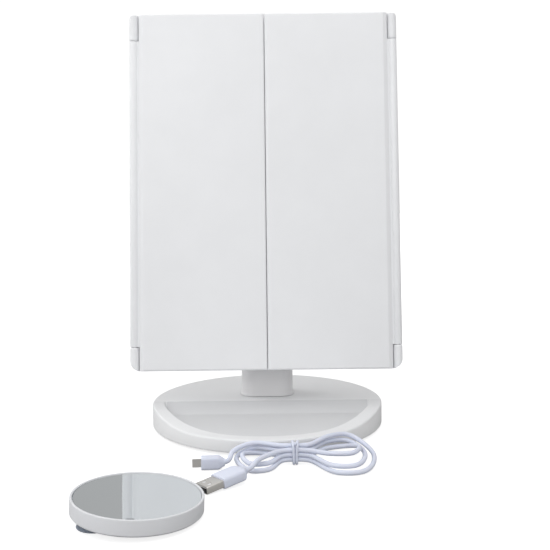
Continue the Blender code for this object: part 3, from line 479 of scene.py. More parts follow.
# dimmer copy of the silvered glass for the small mirror: painted shade in its reflection
SPOT_DIMMED_MIRROR = mirror_glass("spot_glass_painted_shade", tint=(0.735, 0.768, 0.785))
FROST = plastic("frosted_light", (0.86, 0.88, 0.91), rough=0.5, scatter=0.3, specular=0.4)
CORD_WHITE = plastic("cord_jacket", (0.675, 0.706, 0.815), rough=0.40, grain=1500.0, tone=0.02,
                     specular=0.45, scatter=0.08)
BOARD = plastic("circuit_board", (0.03, 0.16, 0.08), rough=0.45, tone=0.12)
CELL = plastic("cell_jacket", (0.12, 0.15, 0.24), rough=0.3, tone=0.05, coat=0.4)
CUP = cup_material()
GOLD = metal("contacts", (0.78, 0.62, 0.30), rough=0.3)


# ---------------------------------------------------------------- base
BASE_R, BASE_TOP, BASE_EDGE = 80.0, 16.2, 1.2
RIM_LOW, RIM_FRONT_Y, RIM_RUN = 10.4, -68.0, 46.0   # the rim climbs from RIM_LOW over RIM_RUN
TRAY_R, TRAY_FLOOR = 71.4, 10.0
SLOPE_Y, CHORD_Y = -17.4, -4.0   # foot and top of the slope from the tray up to the plateau
GRID_R, GRID_COLUMNS = 70.3, 36   # middle of the base, meshed in rows
CREASE_ROWS = (0.0, 0.14, 0.28, 0.45, 0.65, 0.9)   # extra rows either side of each crease
OUTER_RINGS = (73.0, 74.5, 76.0, 77.4)
# (radius, z) down the side and in under the hollow foot
FOOT_PROFILE = (
    (BASE_R, 7.0), (BASE_R, 2.6), (BASE_R - 0.12, 2.1), (BASE_R - 0.45, 1.75),
    (BASE_R - 0.9, 1.6), (77.9, 1.6), (77.6, 1.9), (77.6, 7.6))


def smooth_min(first, second, blend):
    mix = max(0.0, min(1.0, 0.5 + 0.5 * (second - first) / blend))
    return second * (1 - mix) + first * mix - blend * mix * (1 - mix)


def smooth_max(first, second, blend):
    return -smooth_min(-first, -second, blend)


def rim_height(y):
    """Low round the front of the tray, climbing towards the neck."""
    climb = min(1.0, max(0.0, (y - RIM_FRONT_Y) / RIM_RUN))
    return RIM_LOW + (BASE_TOP - RIM_LOW) * climb * climb * (3 - 2 * climb)


def base_height(x, y):
    slope = TRAY_FLOOR + (y - SLOPE_Y) * (BASE_TOP - TRAY_FLOOR) / (CHORD_Y - SLOPE_Y)
    inside = smooth_max(TRAY_FLOOR, slope, 0.3)
    wall = TRAY_FLOOR + (math.hypot(x, y) - (TRAY_R - 0.35)) * 9.0
    inside = smooth_max(inside, wall, 0.4)
    return smooth_min(inside, rim_height(y), 0.3)


def base_rows():
    """Where the rows lie along y, crowded at the slope's two creases."""
    rows = [GRID_R * math.sin(math.radians(-90 + k)) for k in range(181)]
    rows += [crease + off for crease in (SLOPE_Y, CHORD_Y)
             for off in sorted({way * off for way in (-1, 1) for off in CREASE_ROWS})]
    rows = sorted(rows)
    return rows[:1] + [y for before, y in zip(rows, rows[1:]) if y - before > 0.009]


def build_base():
    """Rows across the middle keep the creases straight; rings outside them make the rim."""
    verts, grid = [], []
    for y in base_rows():
        half = math.sqrt(max(GRID_R * GRID_R - y * y, 0.0))
        if half < 0.01:
            grid.append([len(verts)] * (GRID_COLUMNS + 1))
            verts.append((0.0, y, base_height(0.0, y)))
            continue
        grid.append([len(verts) + c for c in range(GRID_COLUMNS + 1)])
        row = [half * (2 * c / GRID_COLUMNS - 1) for c in range(GRID_COLUMNS + 1)]
        verts += [(x, y, base_height(x, y)) for x in row]
    faces = [f for low, high in zip(grid, grid[1:]) for f in band(low, high, closed=False)]

    border = [row[-1] for row in grid] + [row[0] for row in grid[-2:0:-1]]
    angles = [math.atan2(verts[v][1], verts[v][0]) for v in border]
    rings = [border]

    def ring(radius, height):
        rings.append(list(range(len(verts), len(verts) + len(angles))))
        for angle in angles:
            x, y = radius * math.cos(angle), radius * math.sin(angle)
            verts.append((x, y, height(x, y)))

    for radius in [GRID_R + 0.11 * k for k in range(1, 21)] + list(OUTER_RINGS):
        ring(radius, base_height)
    for k in range(9):
        turn = math.pi / 2 * (1 - k / 8)
        drop = BASE_EDGE * (1 - math.sin(turn))
        ring(BASE_R - BASE_EDGE * (1 - math.cos(turn)), lambda x, y: rim_height(y) - drop)
    for radius, z in FOOT_PROFILE:
        ring(radius, lambda x, y: z)
    rings.append([len(verts)] * len(angles))
    verts.append((0, 0, FOOT_PROFILE[-1][1]))
    for low, high in zip(rings, rings[1:]):
        faces += band(low, high)

    obj = make("base_tray", verts, faces, sharp=40, mat=BASE_WHITE)
    obj.data.materials.append(TRAY_SHADE_WHITE)
    obj.data.materials.append(RIM_SHADE_WHITE)
    # painted shade: tray floor and slope faces take the darker tray copy, the front rim a
    # slightly darker copy
    for face in obj.data.polygons:
        centre = face.center / MM
        if centre.y < CHORD_Y - 0.1 and centre.z > 9 and face.normal.z > 0.3:
            face.material_index = 1 if math.hypot(centre.x, centre.y) < GRID_R else 2
    put(obj, "base", "white_plastic", "base_top_cover")
    keep(INNER, "base_bottom_plate")
    keep(RUBBER, "base_grip_pad")
    keep(STEEL, "base_screw_1", "base_screw_2", "base_screw_3", "base_screw_4",
         "neck_screw_1", "neck_screw_2", "tilt_pin")


# ---------------------------------------------------------------- neck
NECK_HALF, NECK_BACK = 18.4, 29.5
NECK_BOX = (-NECK_HALF, NECK_HALF, 6.5, NECK_BACK)
NECK_FRONT_R, NECK_BACK_R = 9.6, 4.0
NECK_STUB = (-12, 12, 11.5, 24.5)   # sinks into the base
NECK_STUB_Z = 4.2
NECK_FOOT_Z = BASE_TOP + 0.3
# (growth, height above the foot) of the flare where the neck meets the base
NECK_FLARE = ((0.7, 0), (0.85, 0.1), (0.75, 0.35), (0.42, 0.75), (0.18, 1.2), (0.0, 1.9))
KNUCKLE_R = 11.5
RECESS_BOX = (-12.5, 12.5, 20.0, 44.0)


def neck_outline(growth):
    front, back = NECK_FRONT_R + growth, NECK_BACK_R + growth
    return rounded_rect(shrink(NECK_BOX, -growth), (front, front, back, back), 10)


def build_neck():
    tilt_y, tilt_z = TILT_AT.y / MM, TILT_AT.z / MM
    rings = [on("z", z, rounded_rect(NECK_STUB, 1.0, 10)) for z in (NECK_STUB_Z, NECK_FOOT_Z)]
    rings += [on("z", NECK_FOOT_Z + rise, neck_outline(growth)) for growth, rise in NECK_FLARE]
    rings += [on("z", z, neck_outline(0.0)) for z in (tilt_z - 8, tilt_z)]
    # neck and knuckle take the darker white: painted shade under the panel
    neck = loft("neck_post", rings, sharp=50, mat=NECK_SHADE_WHITE)
    recess = flared(inset_rect(RECESS_BOX, 1.2, 4), "y", NECK_BACK - 2.0, NECK_BACK, 0.25)
    cut(neck, recess, sharp=35)
    put(neck, "base", "white_plastic", "neck_column")

    knuckle = face_round("neck_knuckle", inset_circle(tilt_y, tilt_z, KNUCKLE_R, 96), "x",
                         -NECK_HALF, NECK_HALF, 0.9, 0.9, IDENTITY, NECK_SHADE_WHITE)
    put(knuckle, "base", "white_plastic")

    outline_at = inset_rect(shrink(RECESS_BOX, CLEARANCE), 1.1, 4, least=0.2)
    cover = face_round("neck_back_cover", outline_at, "y", NECK_BACK - 1.7, NECK_BACK + 0.05,
                       0.0, 0.35, IDENTITY, INNER, steps=3)
    put(cover, "base", "inner_plastic", "neck_rear_cover")


# ---------------------------------------------------------------- panel case
# Boxes are (left, right, low, high) in the panel frame.
PANEL_BOX = (-HALF, HALF, 0.0, PANEL_H)
LOW_CORNER_R, HIGH_CORNER_R = 8.0, 3.5
CASE_FRONT, CASE_ROUND_Y, CASE_BACK = 14.8, 19.6, 26.0
CASE_ROUND_IN = 5.4   # how far the rounded back edge runs in
WALL = 2.4
CASE_SCREWS = [(x, z) for x in (-76.0, 76.0) for z in (24.0, 220.0)]
SWITCH_SLOT = (57.3, 62.7, 62.0, 74.0)
PORT_BOX = (55.6, 64.4, 44.0, 47.6)
BAY_BOX, BAY_BACK, BAY_R = (-36.0, 36.0, 34.0, 104.0), 37.0, 5.2
BAY_COVE, BAY_RIM = 0.9, 2.6   # fillet at the bay's foot and round of its back edge
HATCH_SEAT = (-32.5, 32.5, 40.0, 98.0)
CELL_WELL = (-30.5, 30.5, 42.6, 95.4)
EAR_IN, EAR_OUT, EAR_R = 19.8, 26.0, 9.0
EAR_ROOT_Y = CASE_BACK - 1.2
CAP_R, CAP_SEAT_R = 5.9, 6.3


def panel_outline(inset):
    low, high = max(LOW_CORNER_R - inset, 0.5), max(HIGH_CORNER_R - inset, 0.5)
    return rounded_rect(shrink(PANEL_BOX, inset), (low, low, high, high), 8)


def well_cutter(front, back):
    return prism("well", rounded_rect(CELL_WELL, 0.8, 3), "y", front, back, PANEL)


def build_case():
    rings = [on("y", CASE_FRONT, panel_outline(0.35)),
             on("y", CASE_FRONT + 0.3, panel_outline(0.0)),
             on("y", CASE_ROUND_Y, panel_outline(0.0))]
    for k in range(1, 13):
        turn = math.pi / 2 * k / 12
        rings.append(on("y", CASE_ROUND_Y + (CASE_BACK - CASE_ROUND_Y) * math.sin(turn),
                        panel_outline(CASE_ROUND_IN * (1 - math.cos(turn)))))
    case = loft("rear_case", rings, PANEL, 40, WHITE)
    pocket = rounded_rect(shrink(PANEL_BOX, 4.4), 3.0, 3)
    tools = [prism("pocket", pocket, "y", 5, CASE_BACK - WALL, PANEL), well_cutter(10, 40)]
    for x, z in CASE_SCREWS:
        tools.append(flared(inset_circle(x, z, 3.2, 32), "y", CASE_BACK - 1.1, CASE_BACK,
                            0.25, PANEL))
    tools.append(flared(inset_rect(SWITCH_SLOT, 0.5, 3), "y", 20, CASE_BACK, 0.3, PANEL))
    tools.append(flared(inset_rect(PORT_BOX, 1.2, 4), "y", 20, CASE_BACK, 0.4, PANEL))
    cut(case, *tools, sharp=35)
    put(case, "panel", "white_plastic", "rear_housing")


def build_battery_bay():
    rings = [on("y", CASE_BACK - 0.9, rounded_rect(shrink(BAY_BOX, -BAY_COVE), 6.0, 8))]
    for k in range(1, 6):
        turn = math.pi / 2 * k / 5
        growth = BAY_COVE * (1 - math.sin(turn))
        rings.append(on("y", CASE_BACK + BAY_COVE * (1 - math.cos(turn)) - 0.02,
                        rounded_rect(shrink(BAY_BOX, -growth), BAY_R + growth, 8)))
    rings += rim_rings(lambda i: rounded_rect(shrink(BAY_BOX, i), BAY_R - i * 0.9, 8),
                       "y", BAY_BACK, 1, BAY_RIM, 7)
    bay = loft("battery_bay", rings, PANEL, 40, WHITE)
    seat = flared(inset_rect(HATCH_SEAT, 2.3, 5), "y", BAY_BACK - 2.5, BAY_BACK, 0.3, PANEL)
    cut(bay, seat, well_cutter(20, 50), sharp=35)
    put(bay, "panel", "white_plastic")

    # the well's floor and walls, so the bay isn't open into the case
    tub = pad_box("battery_tub", ((-33.0, 33.0), (17.2, CASE_BACK - 0.6), (38.5, 99.0)),
                  0.4, PANEL, INNER, 2)
    cut(tub, well_cutter(19.2, 50), sharp=35)
    put(tub, "panel", "inner_plastic")


def ear_outline(inset):
    """Round at the tilt axis, running forward into the case; points are (y, z)."""
    radius = EAR_R - inset
    arc = [(TILT_Y + radius * math.cos(angle), TILT_Z + radius * math.sin(angle))
           for angle in [math.radians(-80 + 160 * k / 28) for k in range(29)]]
    return ([(EAR_ROOT_Y, TILT_Z - 14.0 + inset * 1.4)] + arc
            + [(EAR_ROOT_Y, BAY_BOX[2] + 3.0 - inset)])


def build_tilt_ears():
    for side, word in SIDES:
        low, high = sorted((side * EAR_IN, side * EAR_OUT))
        rims = (0.9, 0.35) if side < 0 else (0.35, 0.9)   # rounder on the outer face
        ear = face_round("tilt_ear_" + word, ear_outline, "x", low, high, *rims, PANEL, WHITE)
        seat = flared(inset_circle(TILT_Y, TILT_Z, CAP_SEAT_R, 48), "x",
                      side * (EAR_OUT - 2.0), side * EAR_OUT, 0.3, PANEL)
        cut(ear, seat, sharp=35)
        put(ear, "panel", "white_plastic")
        cap = face_round("tilt_cap_round_" + word, inset_circle(TILT_Y, TILT_Z, CAP_R, 48), "x",
                         side * (EAR_OUT - 1.7), side * (EAR_OUT + 0.5), 0.0, 0.7,
                         PANEL, INNER, steps=5)
        put(cap, "panel", "inner_plastic", "tilt_cap_" + word)


def build_case_screws():
    for number, (x, z) in enumerate(CASE_SCREWS, 1):
        screw = face_round("case_screw_%d" % number, inset_circle(x, z, 2.8, 32), "y",
                           CASE_BACK - 0.9, CASE_BACK - 0.1, 0.0, 0.35, PANEL, STEEL)
        depth = (CASE_BACK - 0.65, CASE_BACK + 1)
        cross = [pad_box("cross", ((x - wide, x + wide), depth, (z - high, z + high)),
                         0.05, PANEL) for wide, high in ((1.5, 0.32), (0.32, 1.5))]
        cut(screw, *cross, sharp=35)
        put(screw, "panel", "steel", "housing_screw_%d" % number)


def build_housing():
    build_case()
    build_battery_bay()
    build_tilt_ears()
    keep(BLACK, "tilt_washer_left", "tilt_washer_right")
    keep(STEEL, "charging_socket")
    keep(BOARD, "control_board", "led_strip_board")
    keep(CELL, *["battery_cell_%d" % n for n in (1, 2, 3, 4)])
    keep(STEEL, "wing_pin_left_lower", "wing_pin_left_upper",
         "wing_pin_right_lower", "wing_pin_right_upper")
    build_case_screws()


# ---------------------------------------------------------------- panel front
BEZEL_FRONT, BEZEL_BACK = 8.3, 14.5
GLASS_BOX = (-71.5, 71.5, 17.0, 229.0)
STRIP_IN, STRIP_OUT, STRIP_FOOT, STRIP_TOP = 74.0, 82.0, 22.0, 238.5
PAD_Z, PAD_R, PAD_SEAT_R = 8.5, 4.4, 4.8
PAD_GROOVE_R, PAD_CORE_R = 2.5, 2.1
LUG_R, LUG_RIM, LUG_EDGE = 3.08, 0.35, 0.8
LUG_STEPS, LUG_ARC = 28, 20
LUG_LOW, LUG_HIGH = 16.0, 18.0   # heights of the lower and upper lugs


def light_arch(gap):
    """Two legs and a bar over the glass, smaller all round by gap."""
    outer, inner = STRIP_OUT - gap, STRIP_IN + gap
    foot, top = STRIP_FOOT + gap, STRIP_TOP - gap
    under = top - (outer - inner)
    return [(-outer, foot), (-inner, foot), (-inner, under), (inner, under),
            (inner, foot), (outer, foot), (outer, top), (-outer, top)]


def build_bezel():
    rings = [on("y", BEZEL_BACK, panel_outline(0.35)),
             on("y", BEZEL_BACK - 0.3, panel_outline(0.0))]
    rings += rim_rings(panel_outline, "y", BEZEL_FRONT, -1, 1.0, 4)
    bezel = loft("front_frame", rings, PANEL, 40, WHITE)
    cut(bezel,
        flared(inset_rect(shrink(GLASS_BOX, -CLEARANCE), 1.0, 4), "y", 12.4, BEZEL_FRONT,
               0.3, PANEL),
        flared(inset_circle(0, PAD_Z, PAD_SEAT_R, 48), "y", 11.9, BEZEL_FRONT, 0.3, PANEL),
        prism("slot", light_arch(0.0), "y", 5, 13.6, PANEL), sharp=35)
    put(bezel, "panel", "white_plastic", "front_bezel")


def rounding(radius, depth):
    """How far a quarter round lies in from the side at a depth below the face."""
    if depth >= radius:
        return 0.0
    return radius - math.sqrt(max(radius * radius - (radius - depth) ** 2, 0.0))


def lug_outline(side, inset, push, lift):
    """Half-round front on a block: kept push in from the side, its front moved back by lift."""
    axis_x, radius = side * (HALF - HINGE_IN), LUG_R - inset
    arc = [(axis_x + radius * math.cos(angle), HINGE_Y + radius * math.sin(angle))
           for angle in [math.pi + math.pi * k / LUG_ARC for k in range(LUG_ARC + 1)]]
    root = BEZEL_FRONT + 0.9
    points = [(axis_x - radius, root)] + arc + [(axis_x + radius, root)]
    return [(side * (HALF - max(HALF - side * x, push)), y + (lift if y < HINGE_Y else 0.0))
            for x, y in points]


def build_lugs():
    """The four corner lugs that carry the wing pins."""
    lugs = (("lower", 0.0, LUG_LOW, LOW_CORNER_R),
            ("upper", PANEL_H - LUG_HIGH, PANEL_H, HIGH_CORNER_R))
    for side, word in SIDES:
        for where, low, high, corner in lugs:
            rings = []
            for k in range(LUG_STEPS + 1):
                z = low + (high - low) * (k / LUG_STEPS)
                if where == "lower":
                    from_edge, from_barrel = z, high - z
                else:
                    from_edge, from_barrel = PANEL_H - z, z - low
                # the outer corner of the panel rounds the lug off
                push = min(rounding(corner, from_edge), 2 * HINGE_IN - 0.3)
                outline = lug_outline(side, rounding(LUG_RIM, from_barrel), push,
                                      rounding(LUG_EDGE, from_edge))
                rings.append(on("z", z, outline))
            lug = loft("hinge_lug_%s_%s" % (word, where), rings, PANEL, 40, WHITE)
            put(lug, "panel", "white_plastic")


def build_touch_pad():
    pad = face_round("touch_pad", inset_circle(0, PAD_Z, PAD_R, 64), "y", 8.1, 11.6, 0.5, 0.0,
                     PANEL, STEEL)
    cut(pad, prism("ring", circle(0, PAD_Z, PAD_GROOVE_R, 40), "y", 7.8, 8.3, PANEL))
    put(pad, "panel", "steel", "touch_sensor_pad")
    core = face_round("touch_pad_core", inset_circle(0, PAD_Z, PAD_CORE_R, 40), "y", 8.12, 8.5,
                      0.2, 0.0, PANEL, FROST, steps=3)
    put(core, "panel", "frosted")


def build_front():
    build_bezel()
    build_lugs()
    glass = face_round("centre_glass", inset_rect(GLASS_BOX, 0.8, 4), "y", 9.0, 12.1, 0.5, 0.0,
                       PANEL, MIRROR, steps=2, sharp=20)
    put(glass, "panel", "mirror", "centre_mirror")
    window = prism("light_window", light_arch(CLEARANCE), "y", 8.9, 11.4, PANEL, FROST)
    bevel = window.modifiers.new("edge", "BEVEL")
    bevel.width, bevel.segments = 0.4 * MM, 3
    bevel.limit_method, bevel.angle_limit = "ANGLE", math.radians(40)
    put(window, "panel", "frosted", "light_diffuser")
    build_touch_pad()


# ---------------------------------------------------------------- switch and battery hatch
SWITCH_X = 60.0
SWITCH_RIB_Z, SWITCH_RIB_PITCH = 64.2, 1.2
HATCH_RIB_Z, HATCH_RIB_PITCH = 88.0, 2.4   # topmost groove, and the step down to the next


def build_switch():
    def block(name, half, y_span, z_span, radius, steps):
        spans = ((SWITCH_X - half, SWITCH_X + half), y_span, z_span)
        return pad_box(name, spans, radius, PANEL, BLACK, steps)

    inner_wall = CASE_BACK - WALL
    plate = block("switch_plate", 3.6, (inner_wall - 1.7, inner_wall - 0.4), (57.0, 75.5), 0.2, 2)
    put(plate, "power_switch", "black_plastic", "power_switch_slider")
    knob = block("switch_knob", 2.3, (inner_wall - 1.0, CASE_BACK + 1.3), (63.0, 69.0), 0.35, 3)
    ribs = []
    for k in range(4):
        z = SWITCH_RIB_Z + SWITCH_RIB_PITCH * k
        ribs.append(block("switch_rib_%d" % (k + 1), 1.7, (CASE_BACK + 1.0, CASE_BACK + 1.55),
                          (z - 0.25, z + 0.25), 0.1, 2))
    for piece in ribs + [knob]:
        put(piece, "power_switch", "black_plastic")


def build_hatch():
    outline_at = inset_rect(shrink(HATCH_SEAT, CLEARANCE), 2.0, 6, least=0.3)
    hatch = face_round("battery_hatch", outline_at, "y", BAY_BACK - 2.2, BAY_BACK, 0.0, 0.45,
                       PANEL, WHITE)
    heights = [HATCH_RIB_Z - HATCH_RIB_PITCH * k for k in range(5)]
    grooves = [pad_box("groove", ((-9, 9), (BAY_BACK - 0.7, BAY_BACK + 2), (z - 0.6, z + 0.6)),
                       0.3, PANEL) for z in heights]
    cut(hatch, *grooves, sharp=30)
    put(hatch, "battery_door", "inner_plastic", "battery_cover")


# ---------------------------------------------------------------- wings
SEAM_X, SEAM_HALF = 0.8, 0.14   # the seam between the wings, and half its gap
WING_BACK = 8.0
WING_EDGE_R = 1.5
WING_HINGE_EDGE = 6.72   # hinge-side edge, in from the panel's side
HINGE_CUT_Y, HINGE_CUT = 2.2, 2.9   # in front of this y the edge slants in, by this much
LINER_BACK = 7.8
PANE_MARGIN = 4.0
SPLIT_Z, SPLIT_HALF = 118.0, 1.5   # bar between the left wing's two panes
BARREL_R = 3.06
# (in from the panel's side, y) round the web between barrel and case
WEB_OUTLINE = (
    (4.2, 6.8), (4.2, 3.2), (5.0, 2.62), (5.6, 2.42), (6.3, 2.3),
    (7.4, 2.1), (8.0, 2.3), (8.0, 7.9), (5.6, 7.9))


def wing_outline(side, y, inset):
    """The wing's outline at y; the seam edge rounds off faster than the hinge edge."""
    hinge_in = WING_HINGE_EDGE
    if y < HINGE_CUT_Y:
        hinge_in += HINGE_CUT * (((HINGE_CUT_Y - y) / HINGE_CUT_Y) ** 1.05)
    seam_in = HALF - SEAM_HALF - side * SEAM_X
    soft = 1.6 if side > 0 else 0.8
    left, right = sorted((side * (HALF - (hinge_in + inset * 0.15)),
                          side * (HALF - (seam_in - inset * soft))))
    return rounded_rect((left, right, inset, PANEL_H - inset), 0.35, 3)


def build_wing_case(side, word, seat_box):
    stations = [(WING_BACK, 0.3)] + [(y, 0.0) for y in (7.7, 6.0, 4.0, 2.4, 2.1, 1.8)]
    stations += [(WING_EDGE_R - height, inset) for inset, height in quarter_round(WING_EDGE_R, 7)]
    rings = [on("y", y, wing_outline(side, y, inset)) for y, inset in stations]
    case = loft("wing_case_" + word, rings, PANEL, 28, WHITE)
    cut(case, flared(inset_rect(seat_box, 0.6, 3), "y", 3.0, WING_BACK, 0.2, PANEL), sharp=28)
    put(case, "wing_" + word, "white_plastic", "wing_shell_" + word)


def build_wing_hinge(side, word):
    """The barrel and the web that joins it to the case, between the lugs."""
    low, high = LUG_LOW + 0.35, PANEL_H - LUG_HIGH - 0.35
    barrel = face_round("wing_barrel_" + word,
                        inset_circle(side * (HALF - HINGE_IN), HINGE_Y, BARREL_R, 48), "z",
                        low, high, 0.35, 0.35, PANEL, WHITE, steps=3)
    put(barrel, "wing_" + word, "white_plastic")
    outline = [(side * (HALF - inward), y) for inward, y in WEB_OUTLINE]
    web = prism("wing_web_" + word, outline, "z", low + 0.05, high - 0.05, PANEL, WHITE)
    put(web, "wing_" + word, "white_plastic")


def build_wing_mirrors(side, word, liner_box):
    """A liner with one pane in the right wing, and two, one above the other, in the left."""
    left, right, low, high = shrink(liner_box, PANE_MARGIN)
    if side < 0:
        spans = [("_lower", low, SPLIT_Z - SPLIT_HALF), ("_upper", SPLIT_Z + SPLIT_HALF, high)]
    else:
        spans = [("", low, high)]
    liner = face_round("wing_liner_" + word, inset_rect(liner_box, 0.8, 3, least=0.1), "y",
                       3.3, LINER_BACK, 0.0, 0.3, PANEL, INNER, steps=3)
    cut(liner, *[flared(inset_rect((left, right, bottom, top), 1.0, 4), "y", 1.0, LINER_BACK,
                        0.4, PANEL) for _, bottom, top in spans], sharp=30)
    put(liner, "wing_" + word, "inner_plastic", "wing_frame_" + word)
    for k, (where, bottom, top) in enumerate(spans):
        pane_box = shrink((left, right, bottom, top), CLEARANCE)
        pane = face_round("pane_%s_%d" % (word, k), inset_rect(pane_box, 0.8, 4), "y", 3.6, 7.2,
                          0.0, 0.4, PANEL, MIRROR, steps=2, sharp=20)
        put(pane, "wing_" + word, "mirror", "wing_mirror_" + word + where)


def build_wing(side, word):
    left, right = sorted((side * (HALF - 9.8), side * (0.35 + WALL) + SEAM_X))
    seat_box = (left, right, WALL, PANEL_H - WALL)
    build_wing_case(side, word, seat_box)
    build_wing_hinge(side, word)
    build_wing_mirrors(side, word, shrink(seat_box, CLEARANCE))


# ---------------------------------------------------------------- spot mirror
SPOT_T, SPOT_LEAN, SPOT_DISH = 8.6, math.radians(3.2), 1.2   # thickness, lean, glass hollow
SPOT_LIP, SPOT_FLOOR, SPOT_STEP = 1.25, 2.1, 5.0


def build_spot_case(radius, place):
    bore, step = radius - SPOT_LIP, radius - 4.0
    points = [(0, 0), (radius - 0.9, 0), (radius, 0.9), (radius, SPOT_T), (bore, SPOT_T),
              (bore, SPOT_STEP), (step, SPOT_STEP), (step, SPOT_FLOOR), (0, SPOT_FLOOR)]
    profile = round_profile(points, {1: 0.5, 2: 0.5, 3: 0.5, 4: 0.35}, 6)
    # the case takes the darker white: painted shade
    case = lathe("spot_case", profile, 192, matrix=place, mat=SPOT_SHADE_WHITE, sharp=40)
    put(case, "spot_mirror", "white_plastic", "spot_mirror_housing")


def build_spot_glass(radius, place):
    edge, top = radius - SPOT_LIP - 0.2, SPOT_T - 0.5
    face_r, low = edge - 0.45, SPOT_STEP + 0.3
    points = [(0, low), (edge, low), (edge, SPOT_T - 0.75), (face_r, top)]
    points += [(face_r * part, top - SPOT_DISH * (1 - part * part))
               for part in [1 - k / 24 for k in range(1, 24)]]
    points.append((0, top - SPOT_DISH))
    # dimmer glass: painted shade in the reflection
    glass = lathe("spot_glass", points, 192, matrix=place, mat=SPOT_DIMMED_MIRROR, sharp=25)
    put(glass, "spot_mirror", "mirror", "spot_mirror_glass")


def build_cups():
    for number in (1, 2, 3):
        low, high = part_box("suction_cup_%d" % number)
        centre = ((low[0] + high[0]) / 2 / MM, (low[1] + high[1]) / 2 / MM)
        foot = high[2] / MM - 2.7   # underside of the stem's head
        points = [(0, 0.75), (3.0, 0.65), (9.4, 0.0), (10.0, 0.0), (10.15, 0.25), (9.8, 0.5),
                  (6.5, min(1.5, foot - 0.8)), (4.4, foot - 0.6), (3.2, foot - 0.45),
                  (2.1, foot - 0.4), (2.1, foot + 2.7), (0, foot + 2.7)]
        profile = round_profile(points, {1: 3, 5: 1, 6: 4, 7: 2}, 4)
        cup = lathe("sucker_%d" % number, profile, 64, centre, mat=CUP, sharp=50)
        put(cup, "spot_mirror", "cup", "suction_cup_%d" % number)


def build_spot():
    """It leans down to its right, where the suction cup is squashed most."""
    low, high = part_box("spot_mirror_housing")
    middle = [(low[i] + high[i]) / 2 / MM for i in range(3)]
    x = middle[0] - SPOT_T / 2 * math.sin(SPOT_LEAN)
    z = middle[2] - SPOT_T / 2 * math.cos(SPOT_LEAN)
    place = (Matrix.Translation((x * MM, middle[1] * MM, z * MM))
             @ Matrix.Rotation(SPOT_LEAN, 4, "Y"))
    radius = (high[1] - low[1]) / 2 / MM
    build_spot_case(radius, place)
    build_spot_glass(radius, place)
    build_cups()


# ---------------------------------------------------------------- cord path
CORD_R, CORD_TURNS = 1.36, 3
TIE_X, TIE_Y = 17.0, -93.1
# plug poses: place where the cord enters, heading, pitch, roll; each plug points along its -x
USB_POSE = ((-11.8, -120.0, 5.7), math.radians(40.0), math.radians(6.5), math.radians(-1.5))
MICRO_POSE = ((-24.4, -100.4, 4.05), math.radians(4.0), 0.0, math.radians(90.0))
# (x, y, z) of the places each turn passes, one entry a turn
LEFT_END = ((-18.0, -90.0, 3.6), (-14.3, -92.0, 6.0))   # second and third turns
LEFT_BACK = ((-8.5, -86.2, 10.8), (-8.5, -84.6, 7.4), (-5.0, -85.4, 4.5))
RIGHT_LOOP = (
    ((38.0, -78.5, 12.3), (37.0, -78.0, 8.9), (36.5, -81.5, 5.6)),
    ((51.0, -70.5, 10.6), (49.5, -71.8, 7.4), (47.5, -77.5, 5.6)),
    ((64.0, -88.0, 4.4), (58.6, -90.0, 5.6), (55.5, -88.5, 8.8)),
    ((56.5, -112.0, 1.7), (52.0, -110.5, 4.7), (50.5, -101.0, 8.8)),
    ((40.0, -113.5, 1.6), (38.5, -110.5, 4.6), (37.5, -101.0, 8.6)))
LEFT_FRONT = (((2.0, -106.5, 1.6), (2.0, -104.0, 4.5)),   # first and second turns
              ((-9.0, -109.0, 1.5), (-9.5, -105.0, 4.4)))
TIE_BACK_Z, TIE_FRONT_Z = (10.7, 7.8, 4.9), (3.3, 6.2, 9.1)   # cord height in the tie, by turn


def plug_matrix(pose, scale):
    at, heading, pitch, roll = pose
    return (Matrix.Translation(Vector(at) * scale) @ Matrix.Rotation(heading, 4, "Z")
            @ Matrix.Rotation(-pitch, 4, "Y") @ Matrix.Rotation(roll, 4, "X"))


def plug_axis(pose, distances):
    matrix = plug_matrix(pose, 1.0)
    return [tuple(matrix @ Vector((along, 0, 0))) for along in distances]


def cord_keys():
    """Places the cord passes: gathered at the tie, a wide loop right and a small one left."""
    keys = plug_axis(MICRO_POSE, (-3.5, 0.5))
    keys += [(-21.6, -97.2, 5.0), (-20.2, -92.0, 7.6)]
    back_y, front_y = TIE_Y + 1.7, TIE_Y - 1.7
    for k in range(CORD_TURNS):
        if k:
            keys.append(LEFT_END[k - 1])
        keys.append(LEFT_BACK[k])
        back_z, front_z = TIE_BACK_Z[k], TIE_FRONT_Z[k]
        keys += [(TIE_X - 8, back_y + 0.3, back_z - 0.1), (TIE_X, back_y, back_z),
                 (TIE_X + 8, back_y + 0.6, back_z)]
        keys += [place[k] for place in RIGHT_LOOP]
        keys += [(TIE_X + 8, front_y - 0.8, front_z - 0.2), (TIE_X, front_y, front_z),
                 (TIE_X - 8, front_y - 1.2, front_z - 0.2)]
        if k < CORD_TURNS - 1:
            keys += [place[k] for place in LEFT_FRONT]
    keys += [(1.5, -103.0, 8.9), (-5.0, -110.5, 8.2)]
    return keys + plug_axis(USB_POSE, (4.0, 0.5, -3.5))


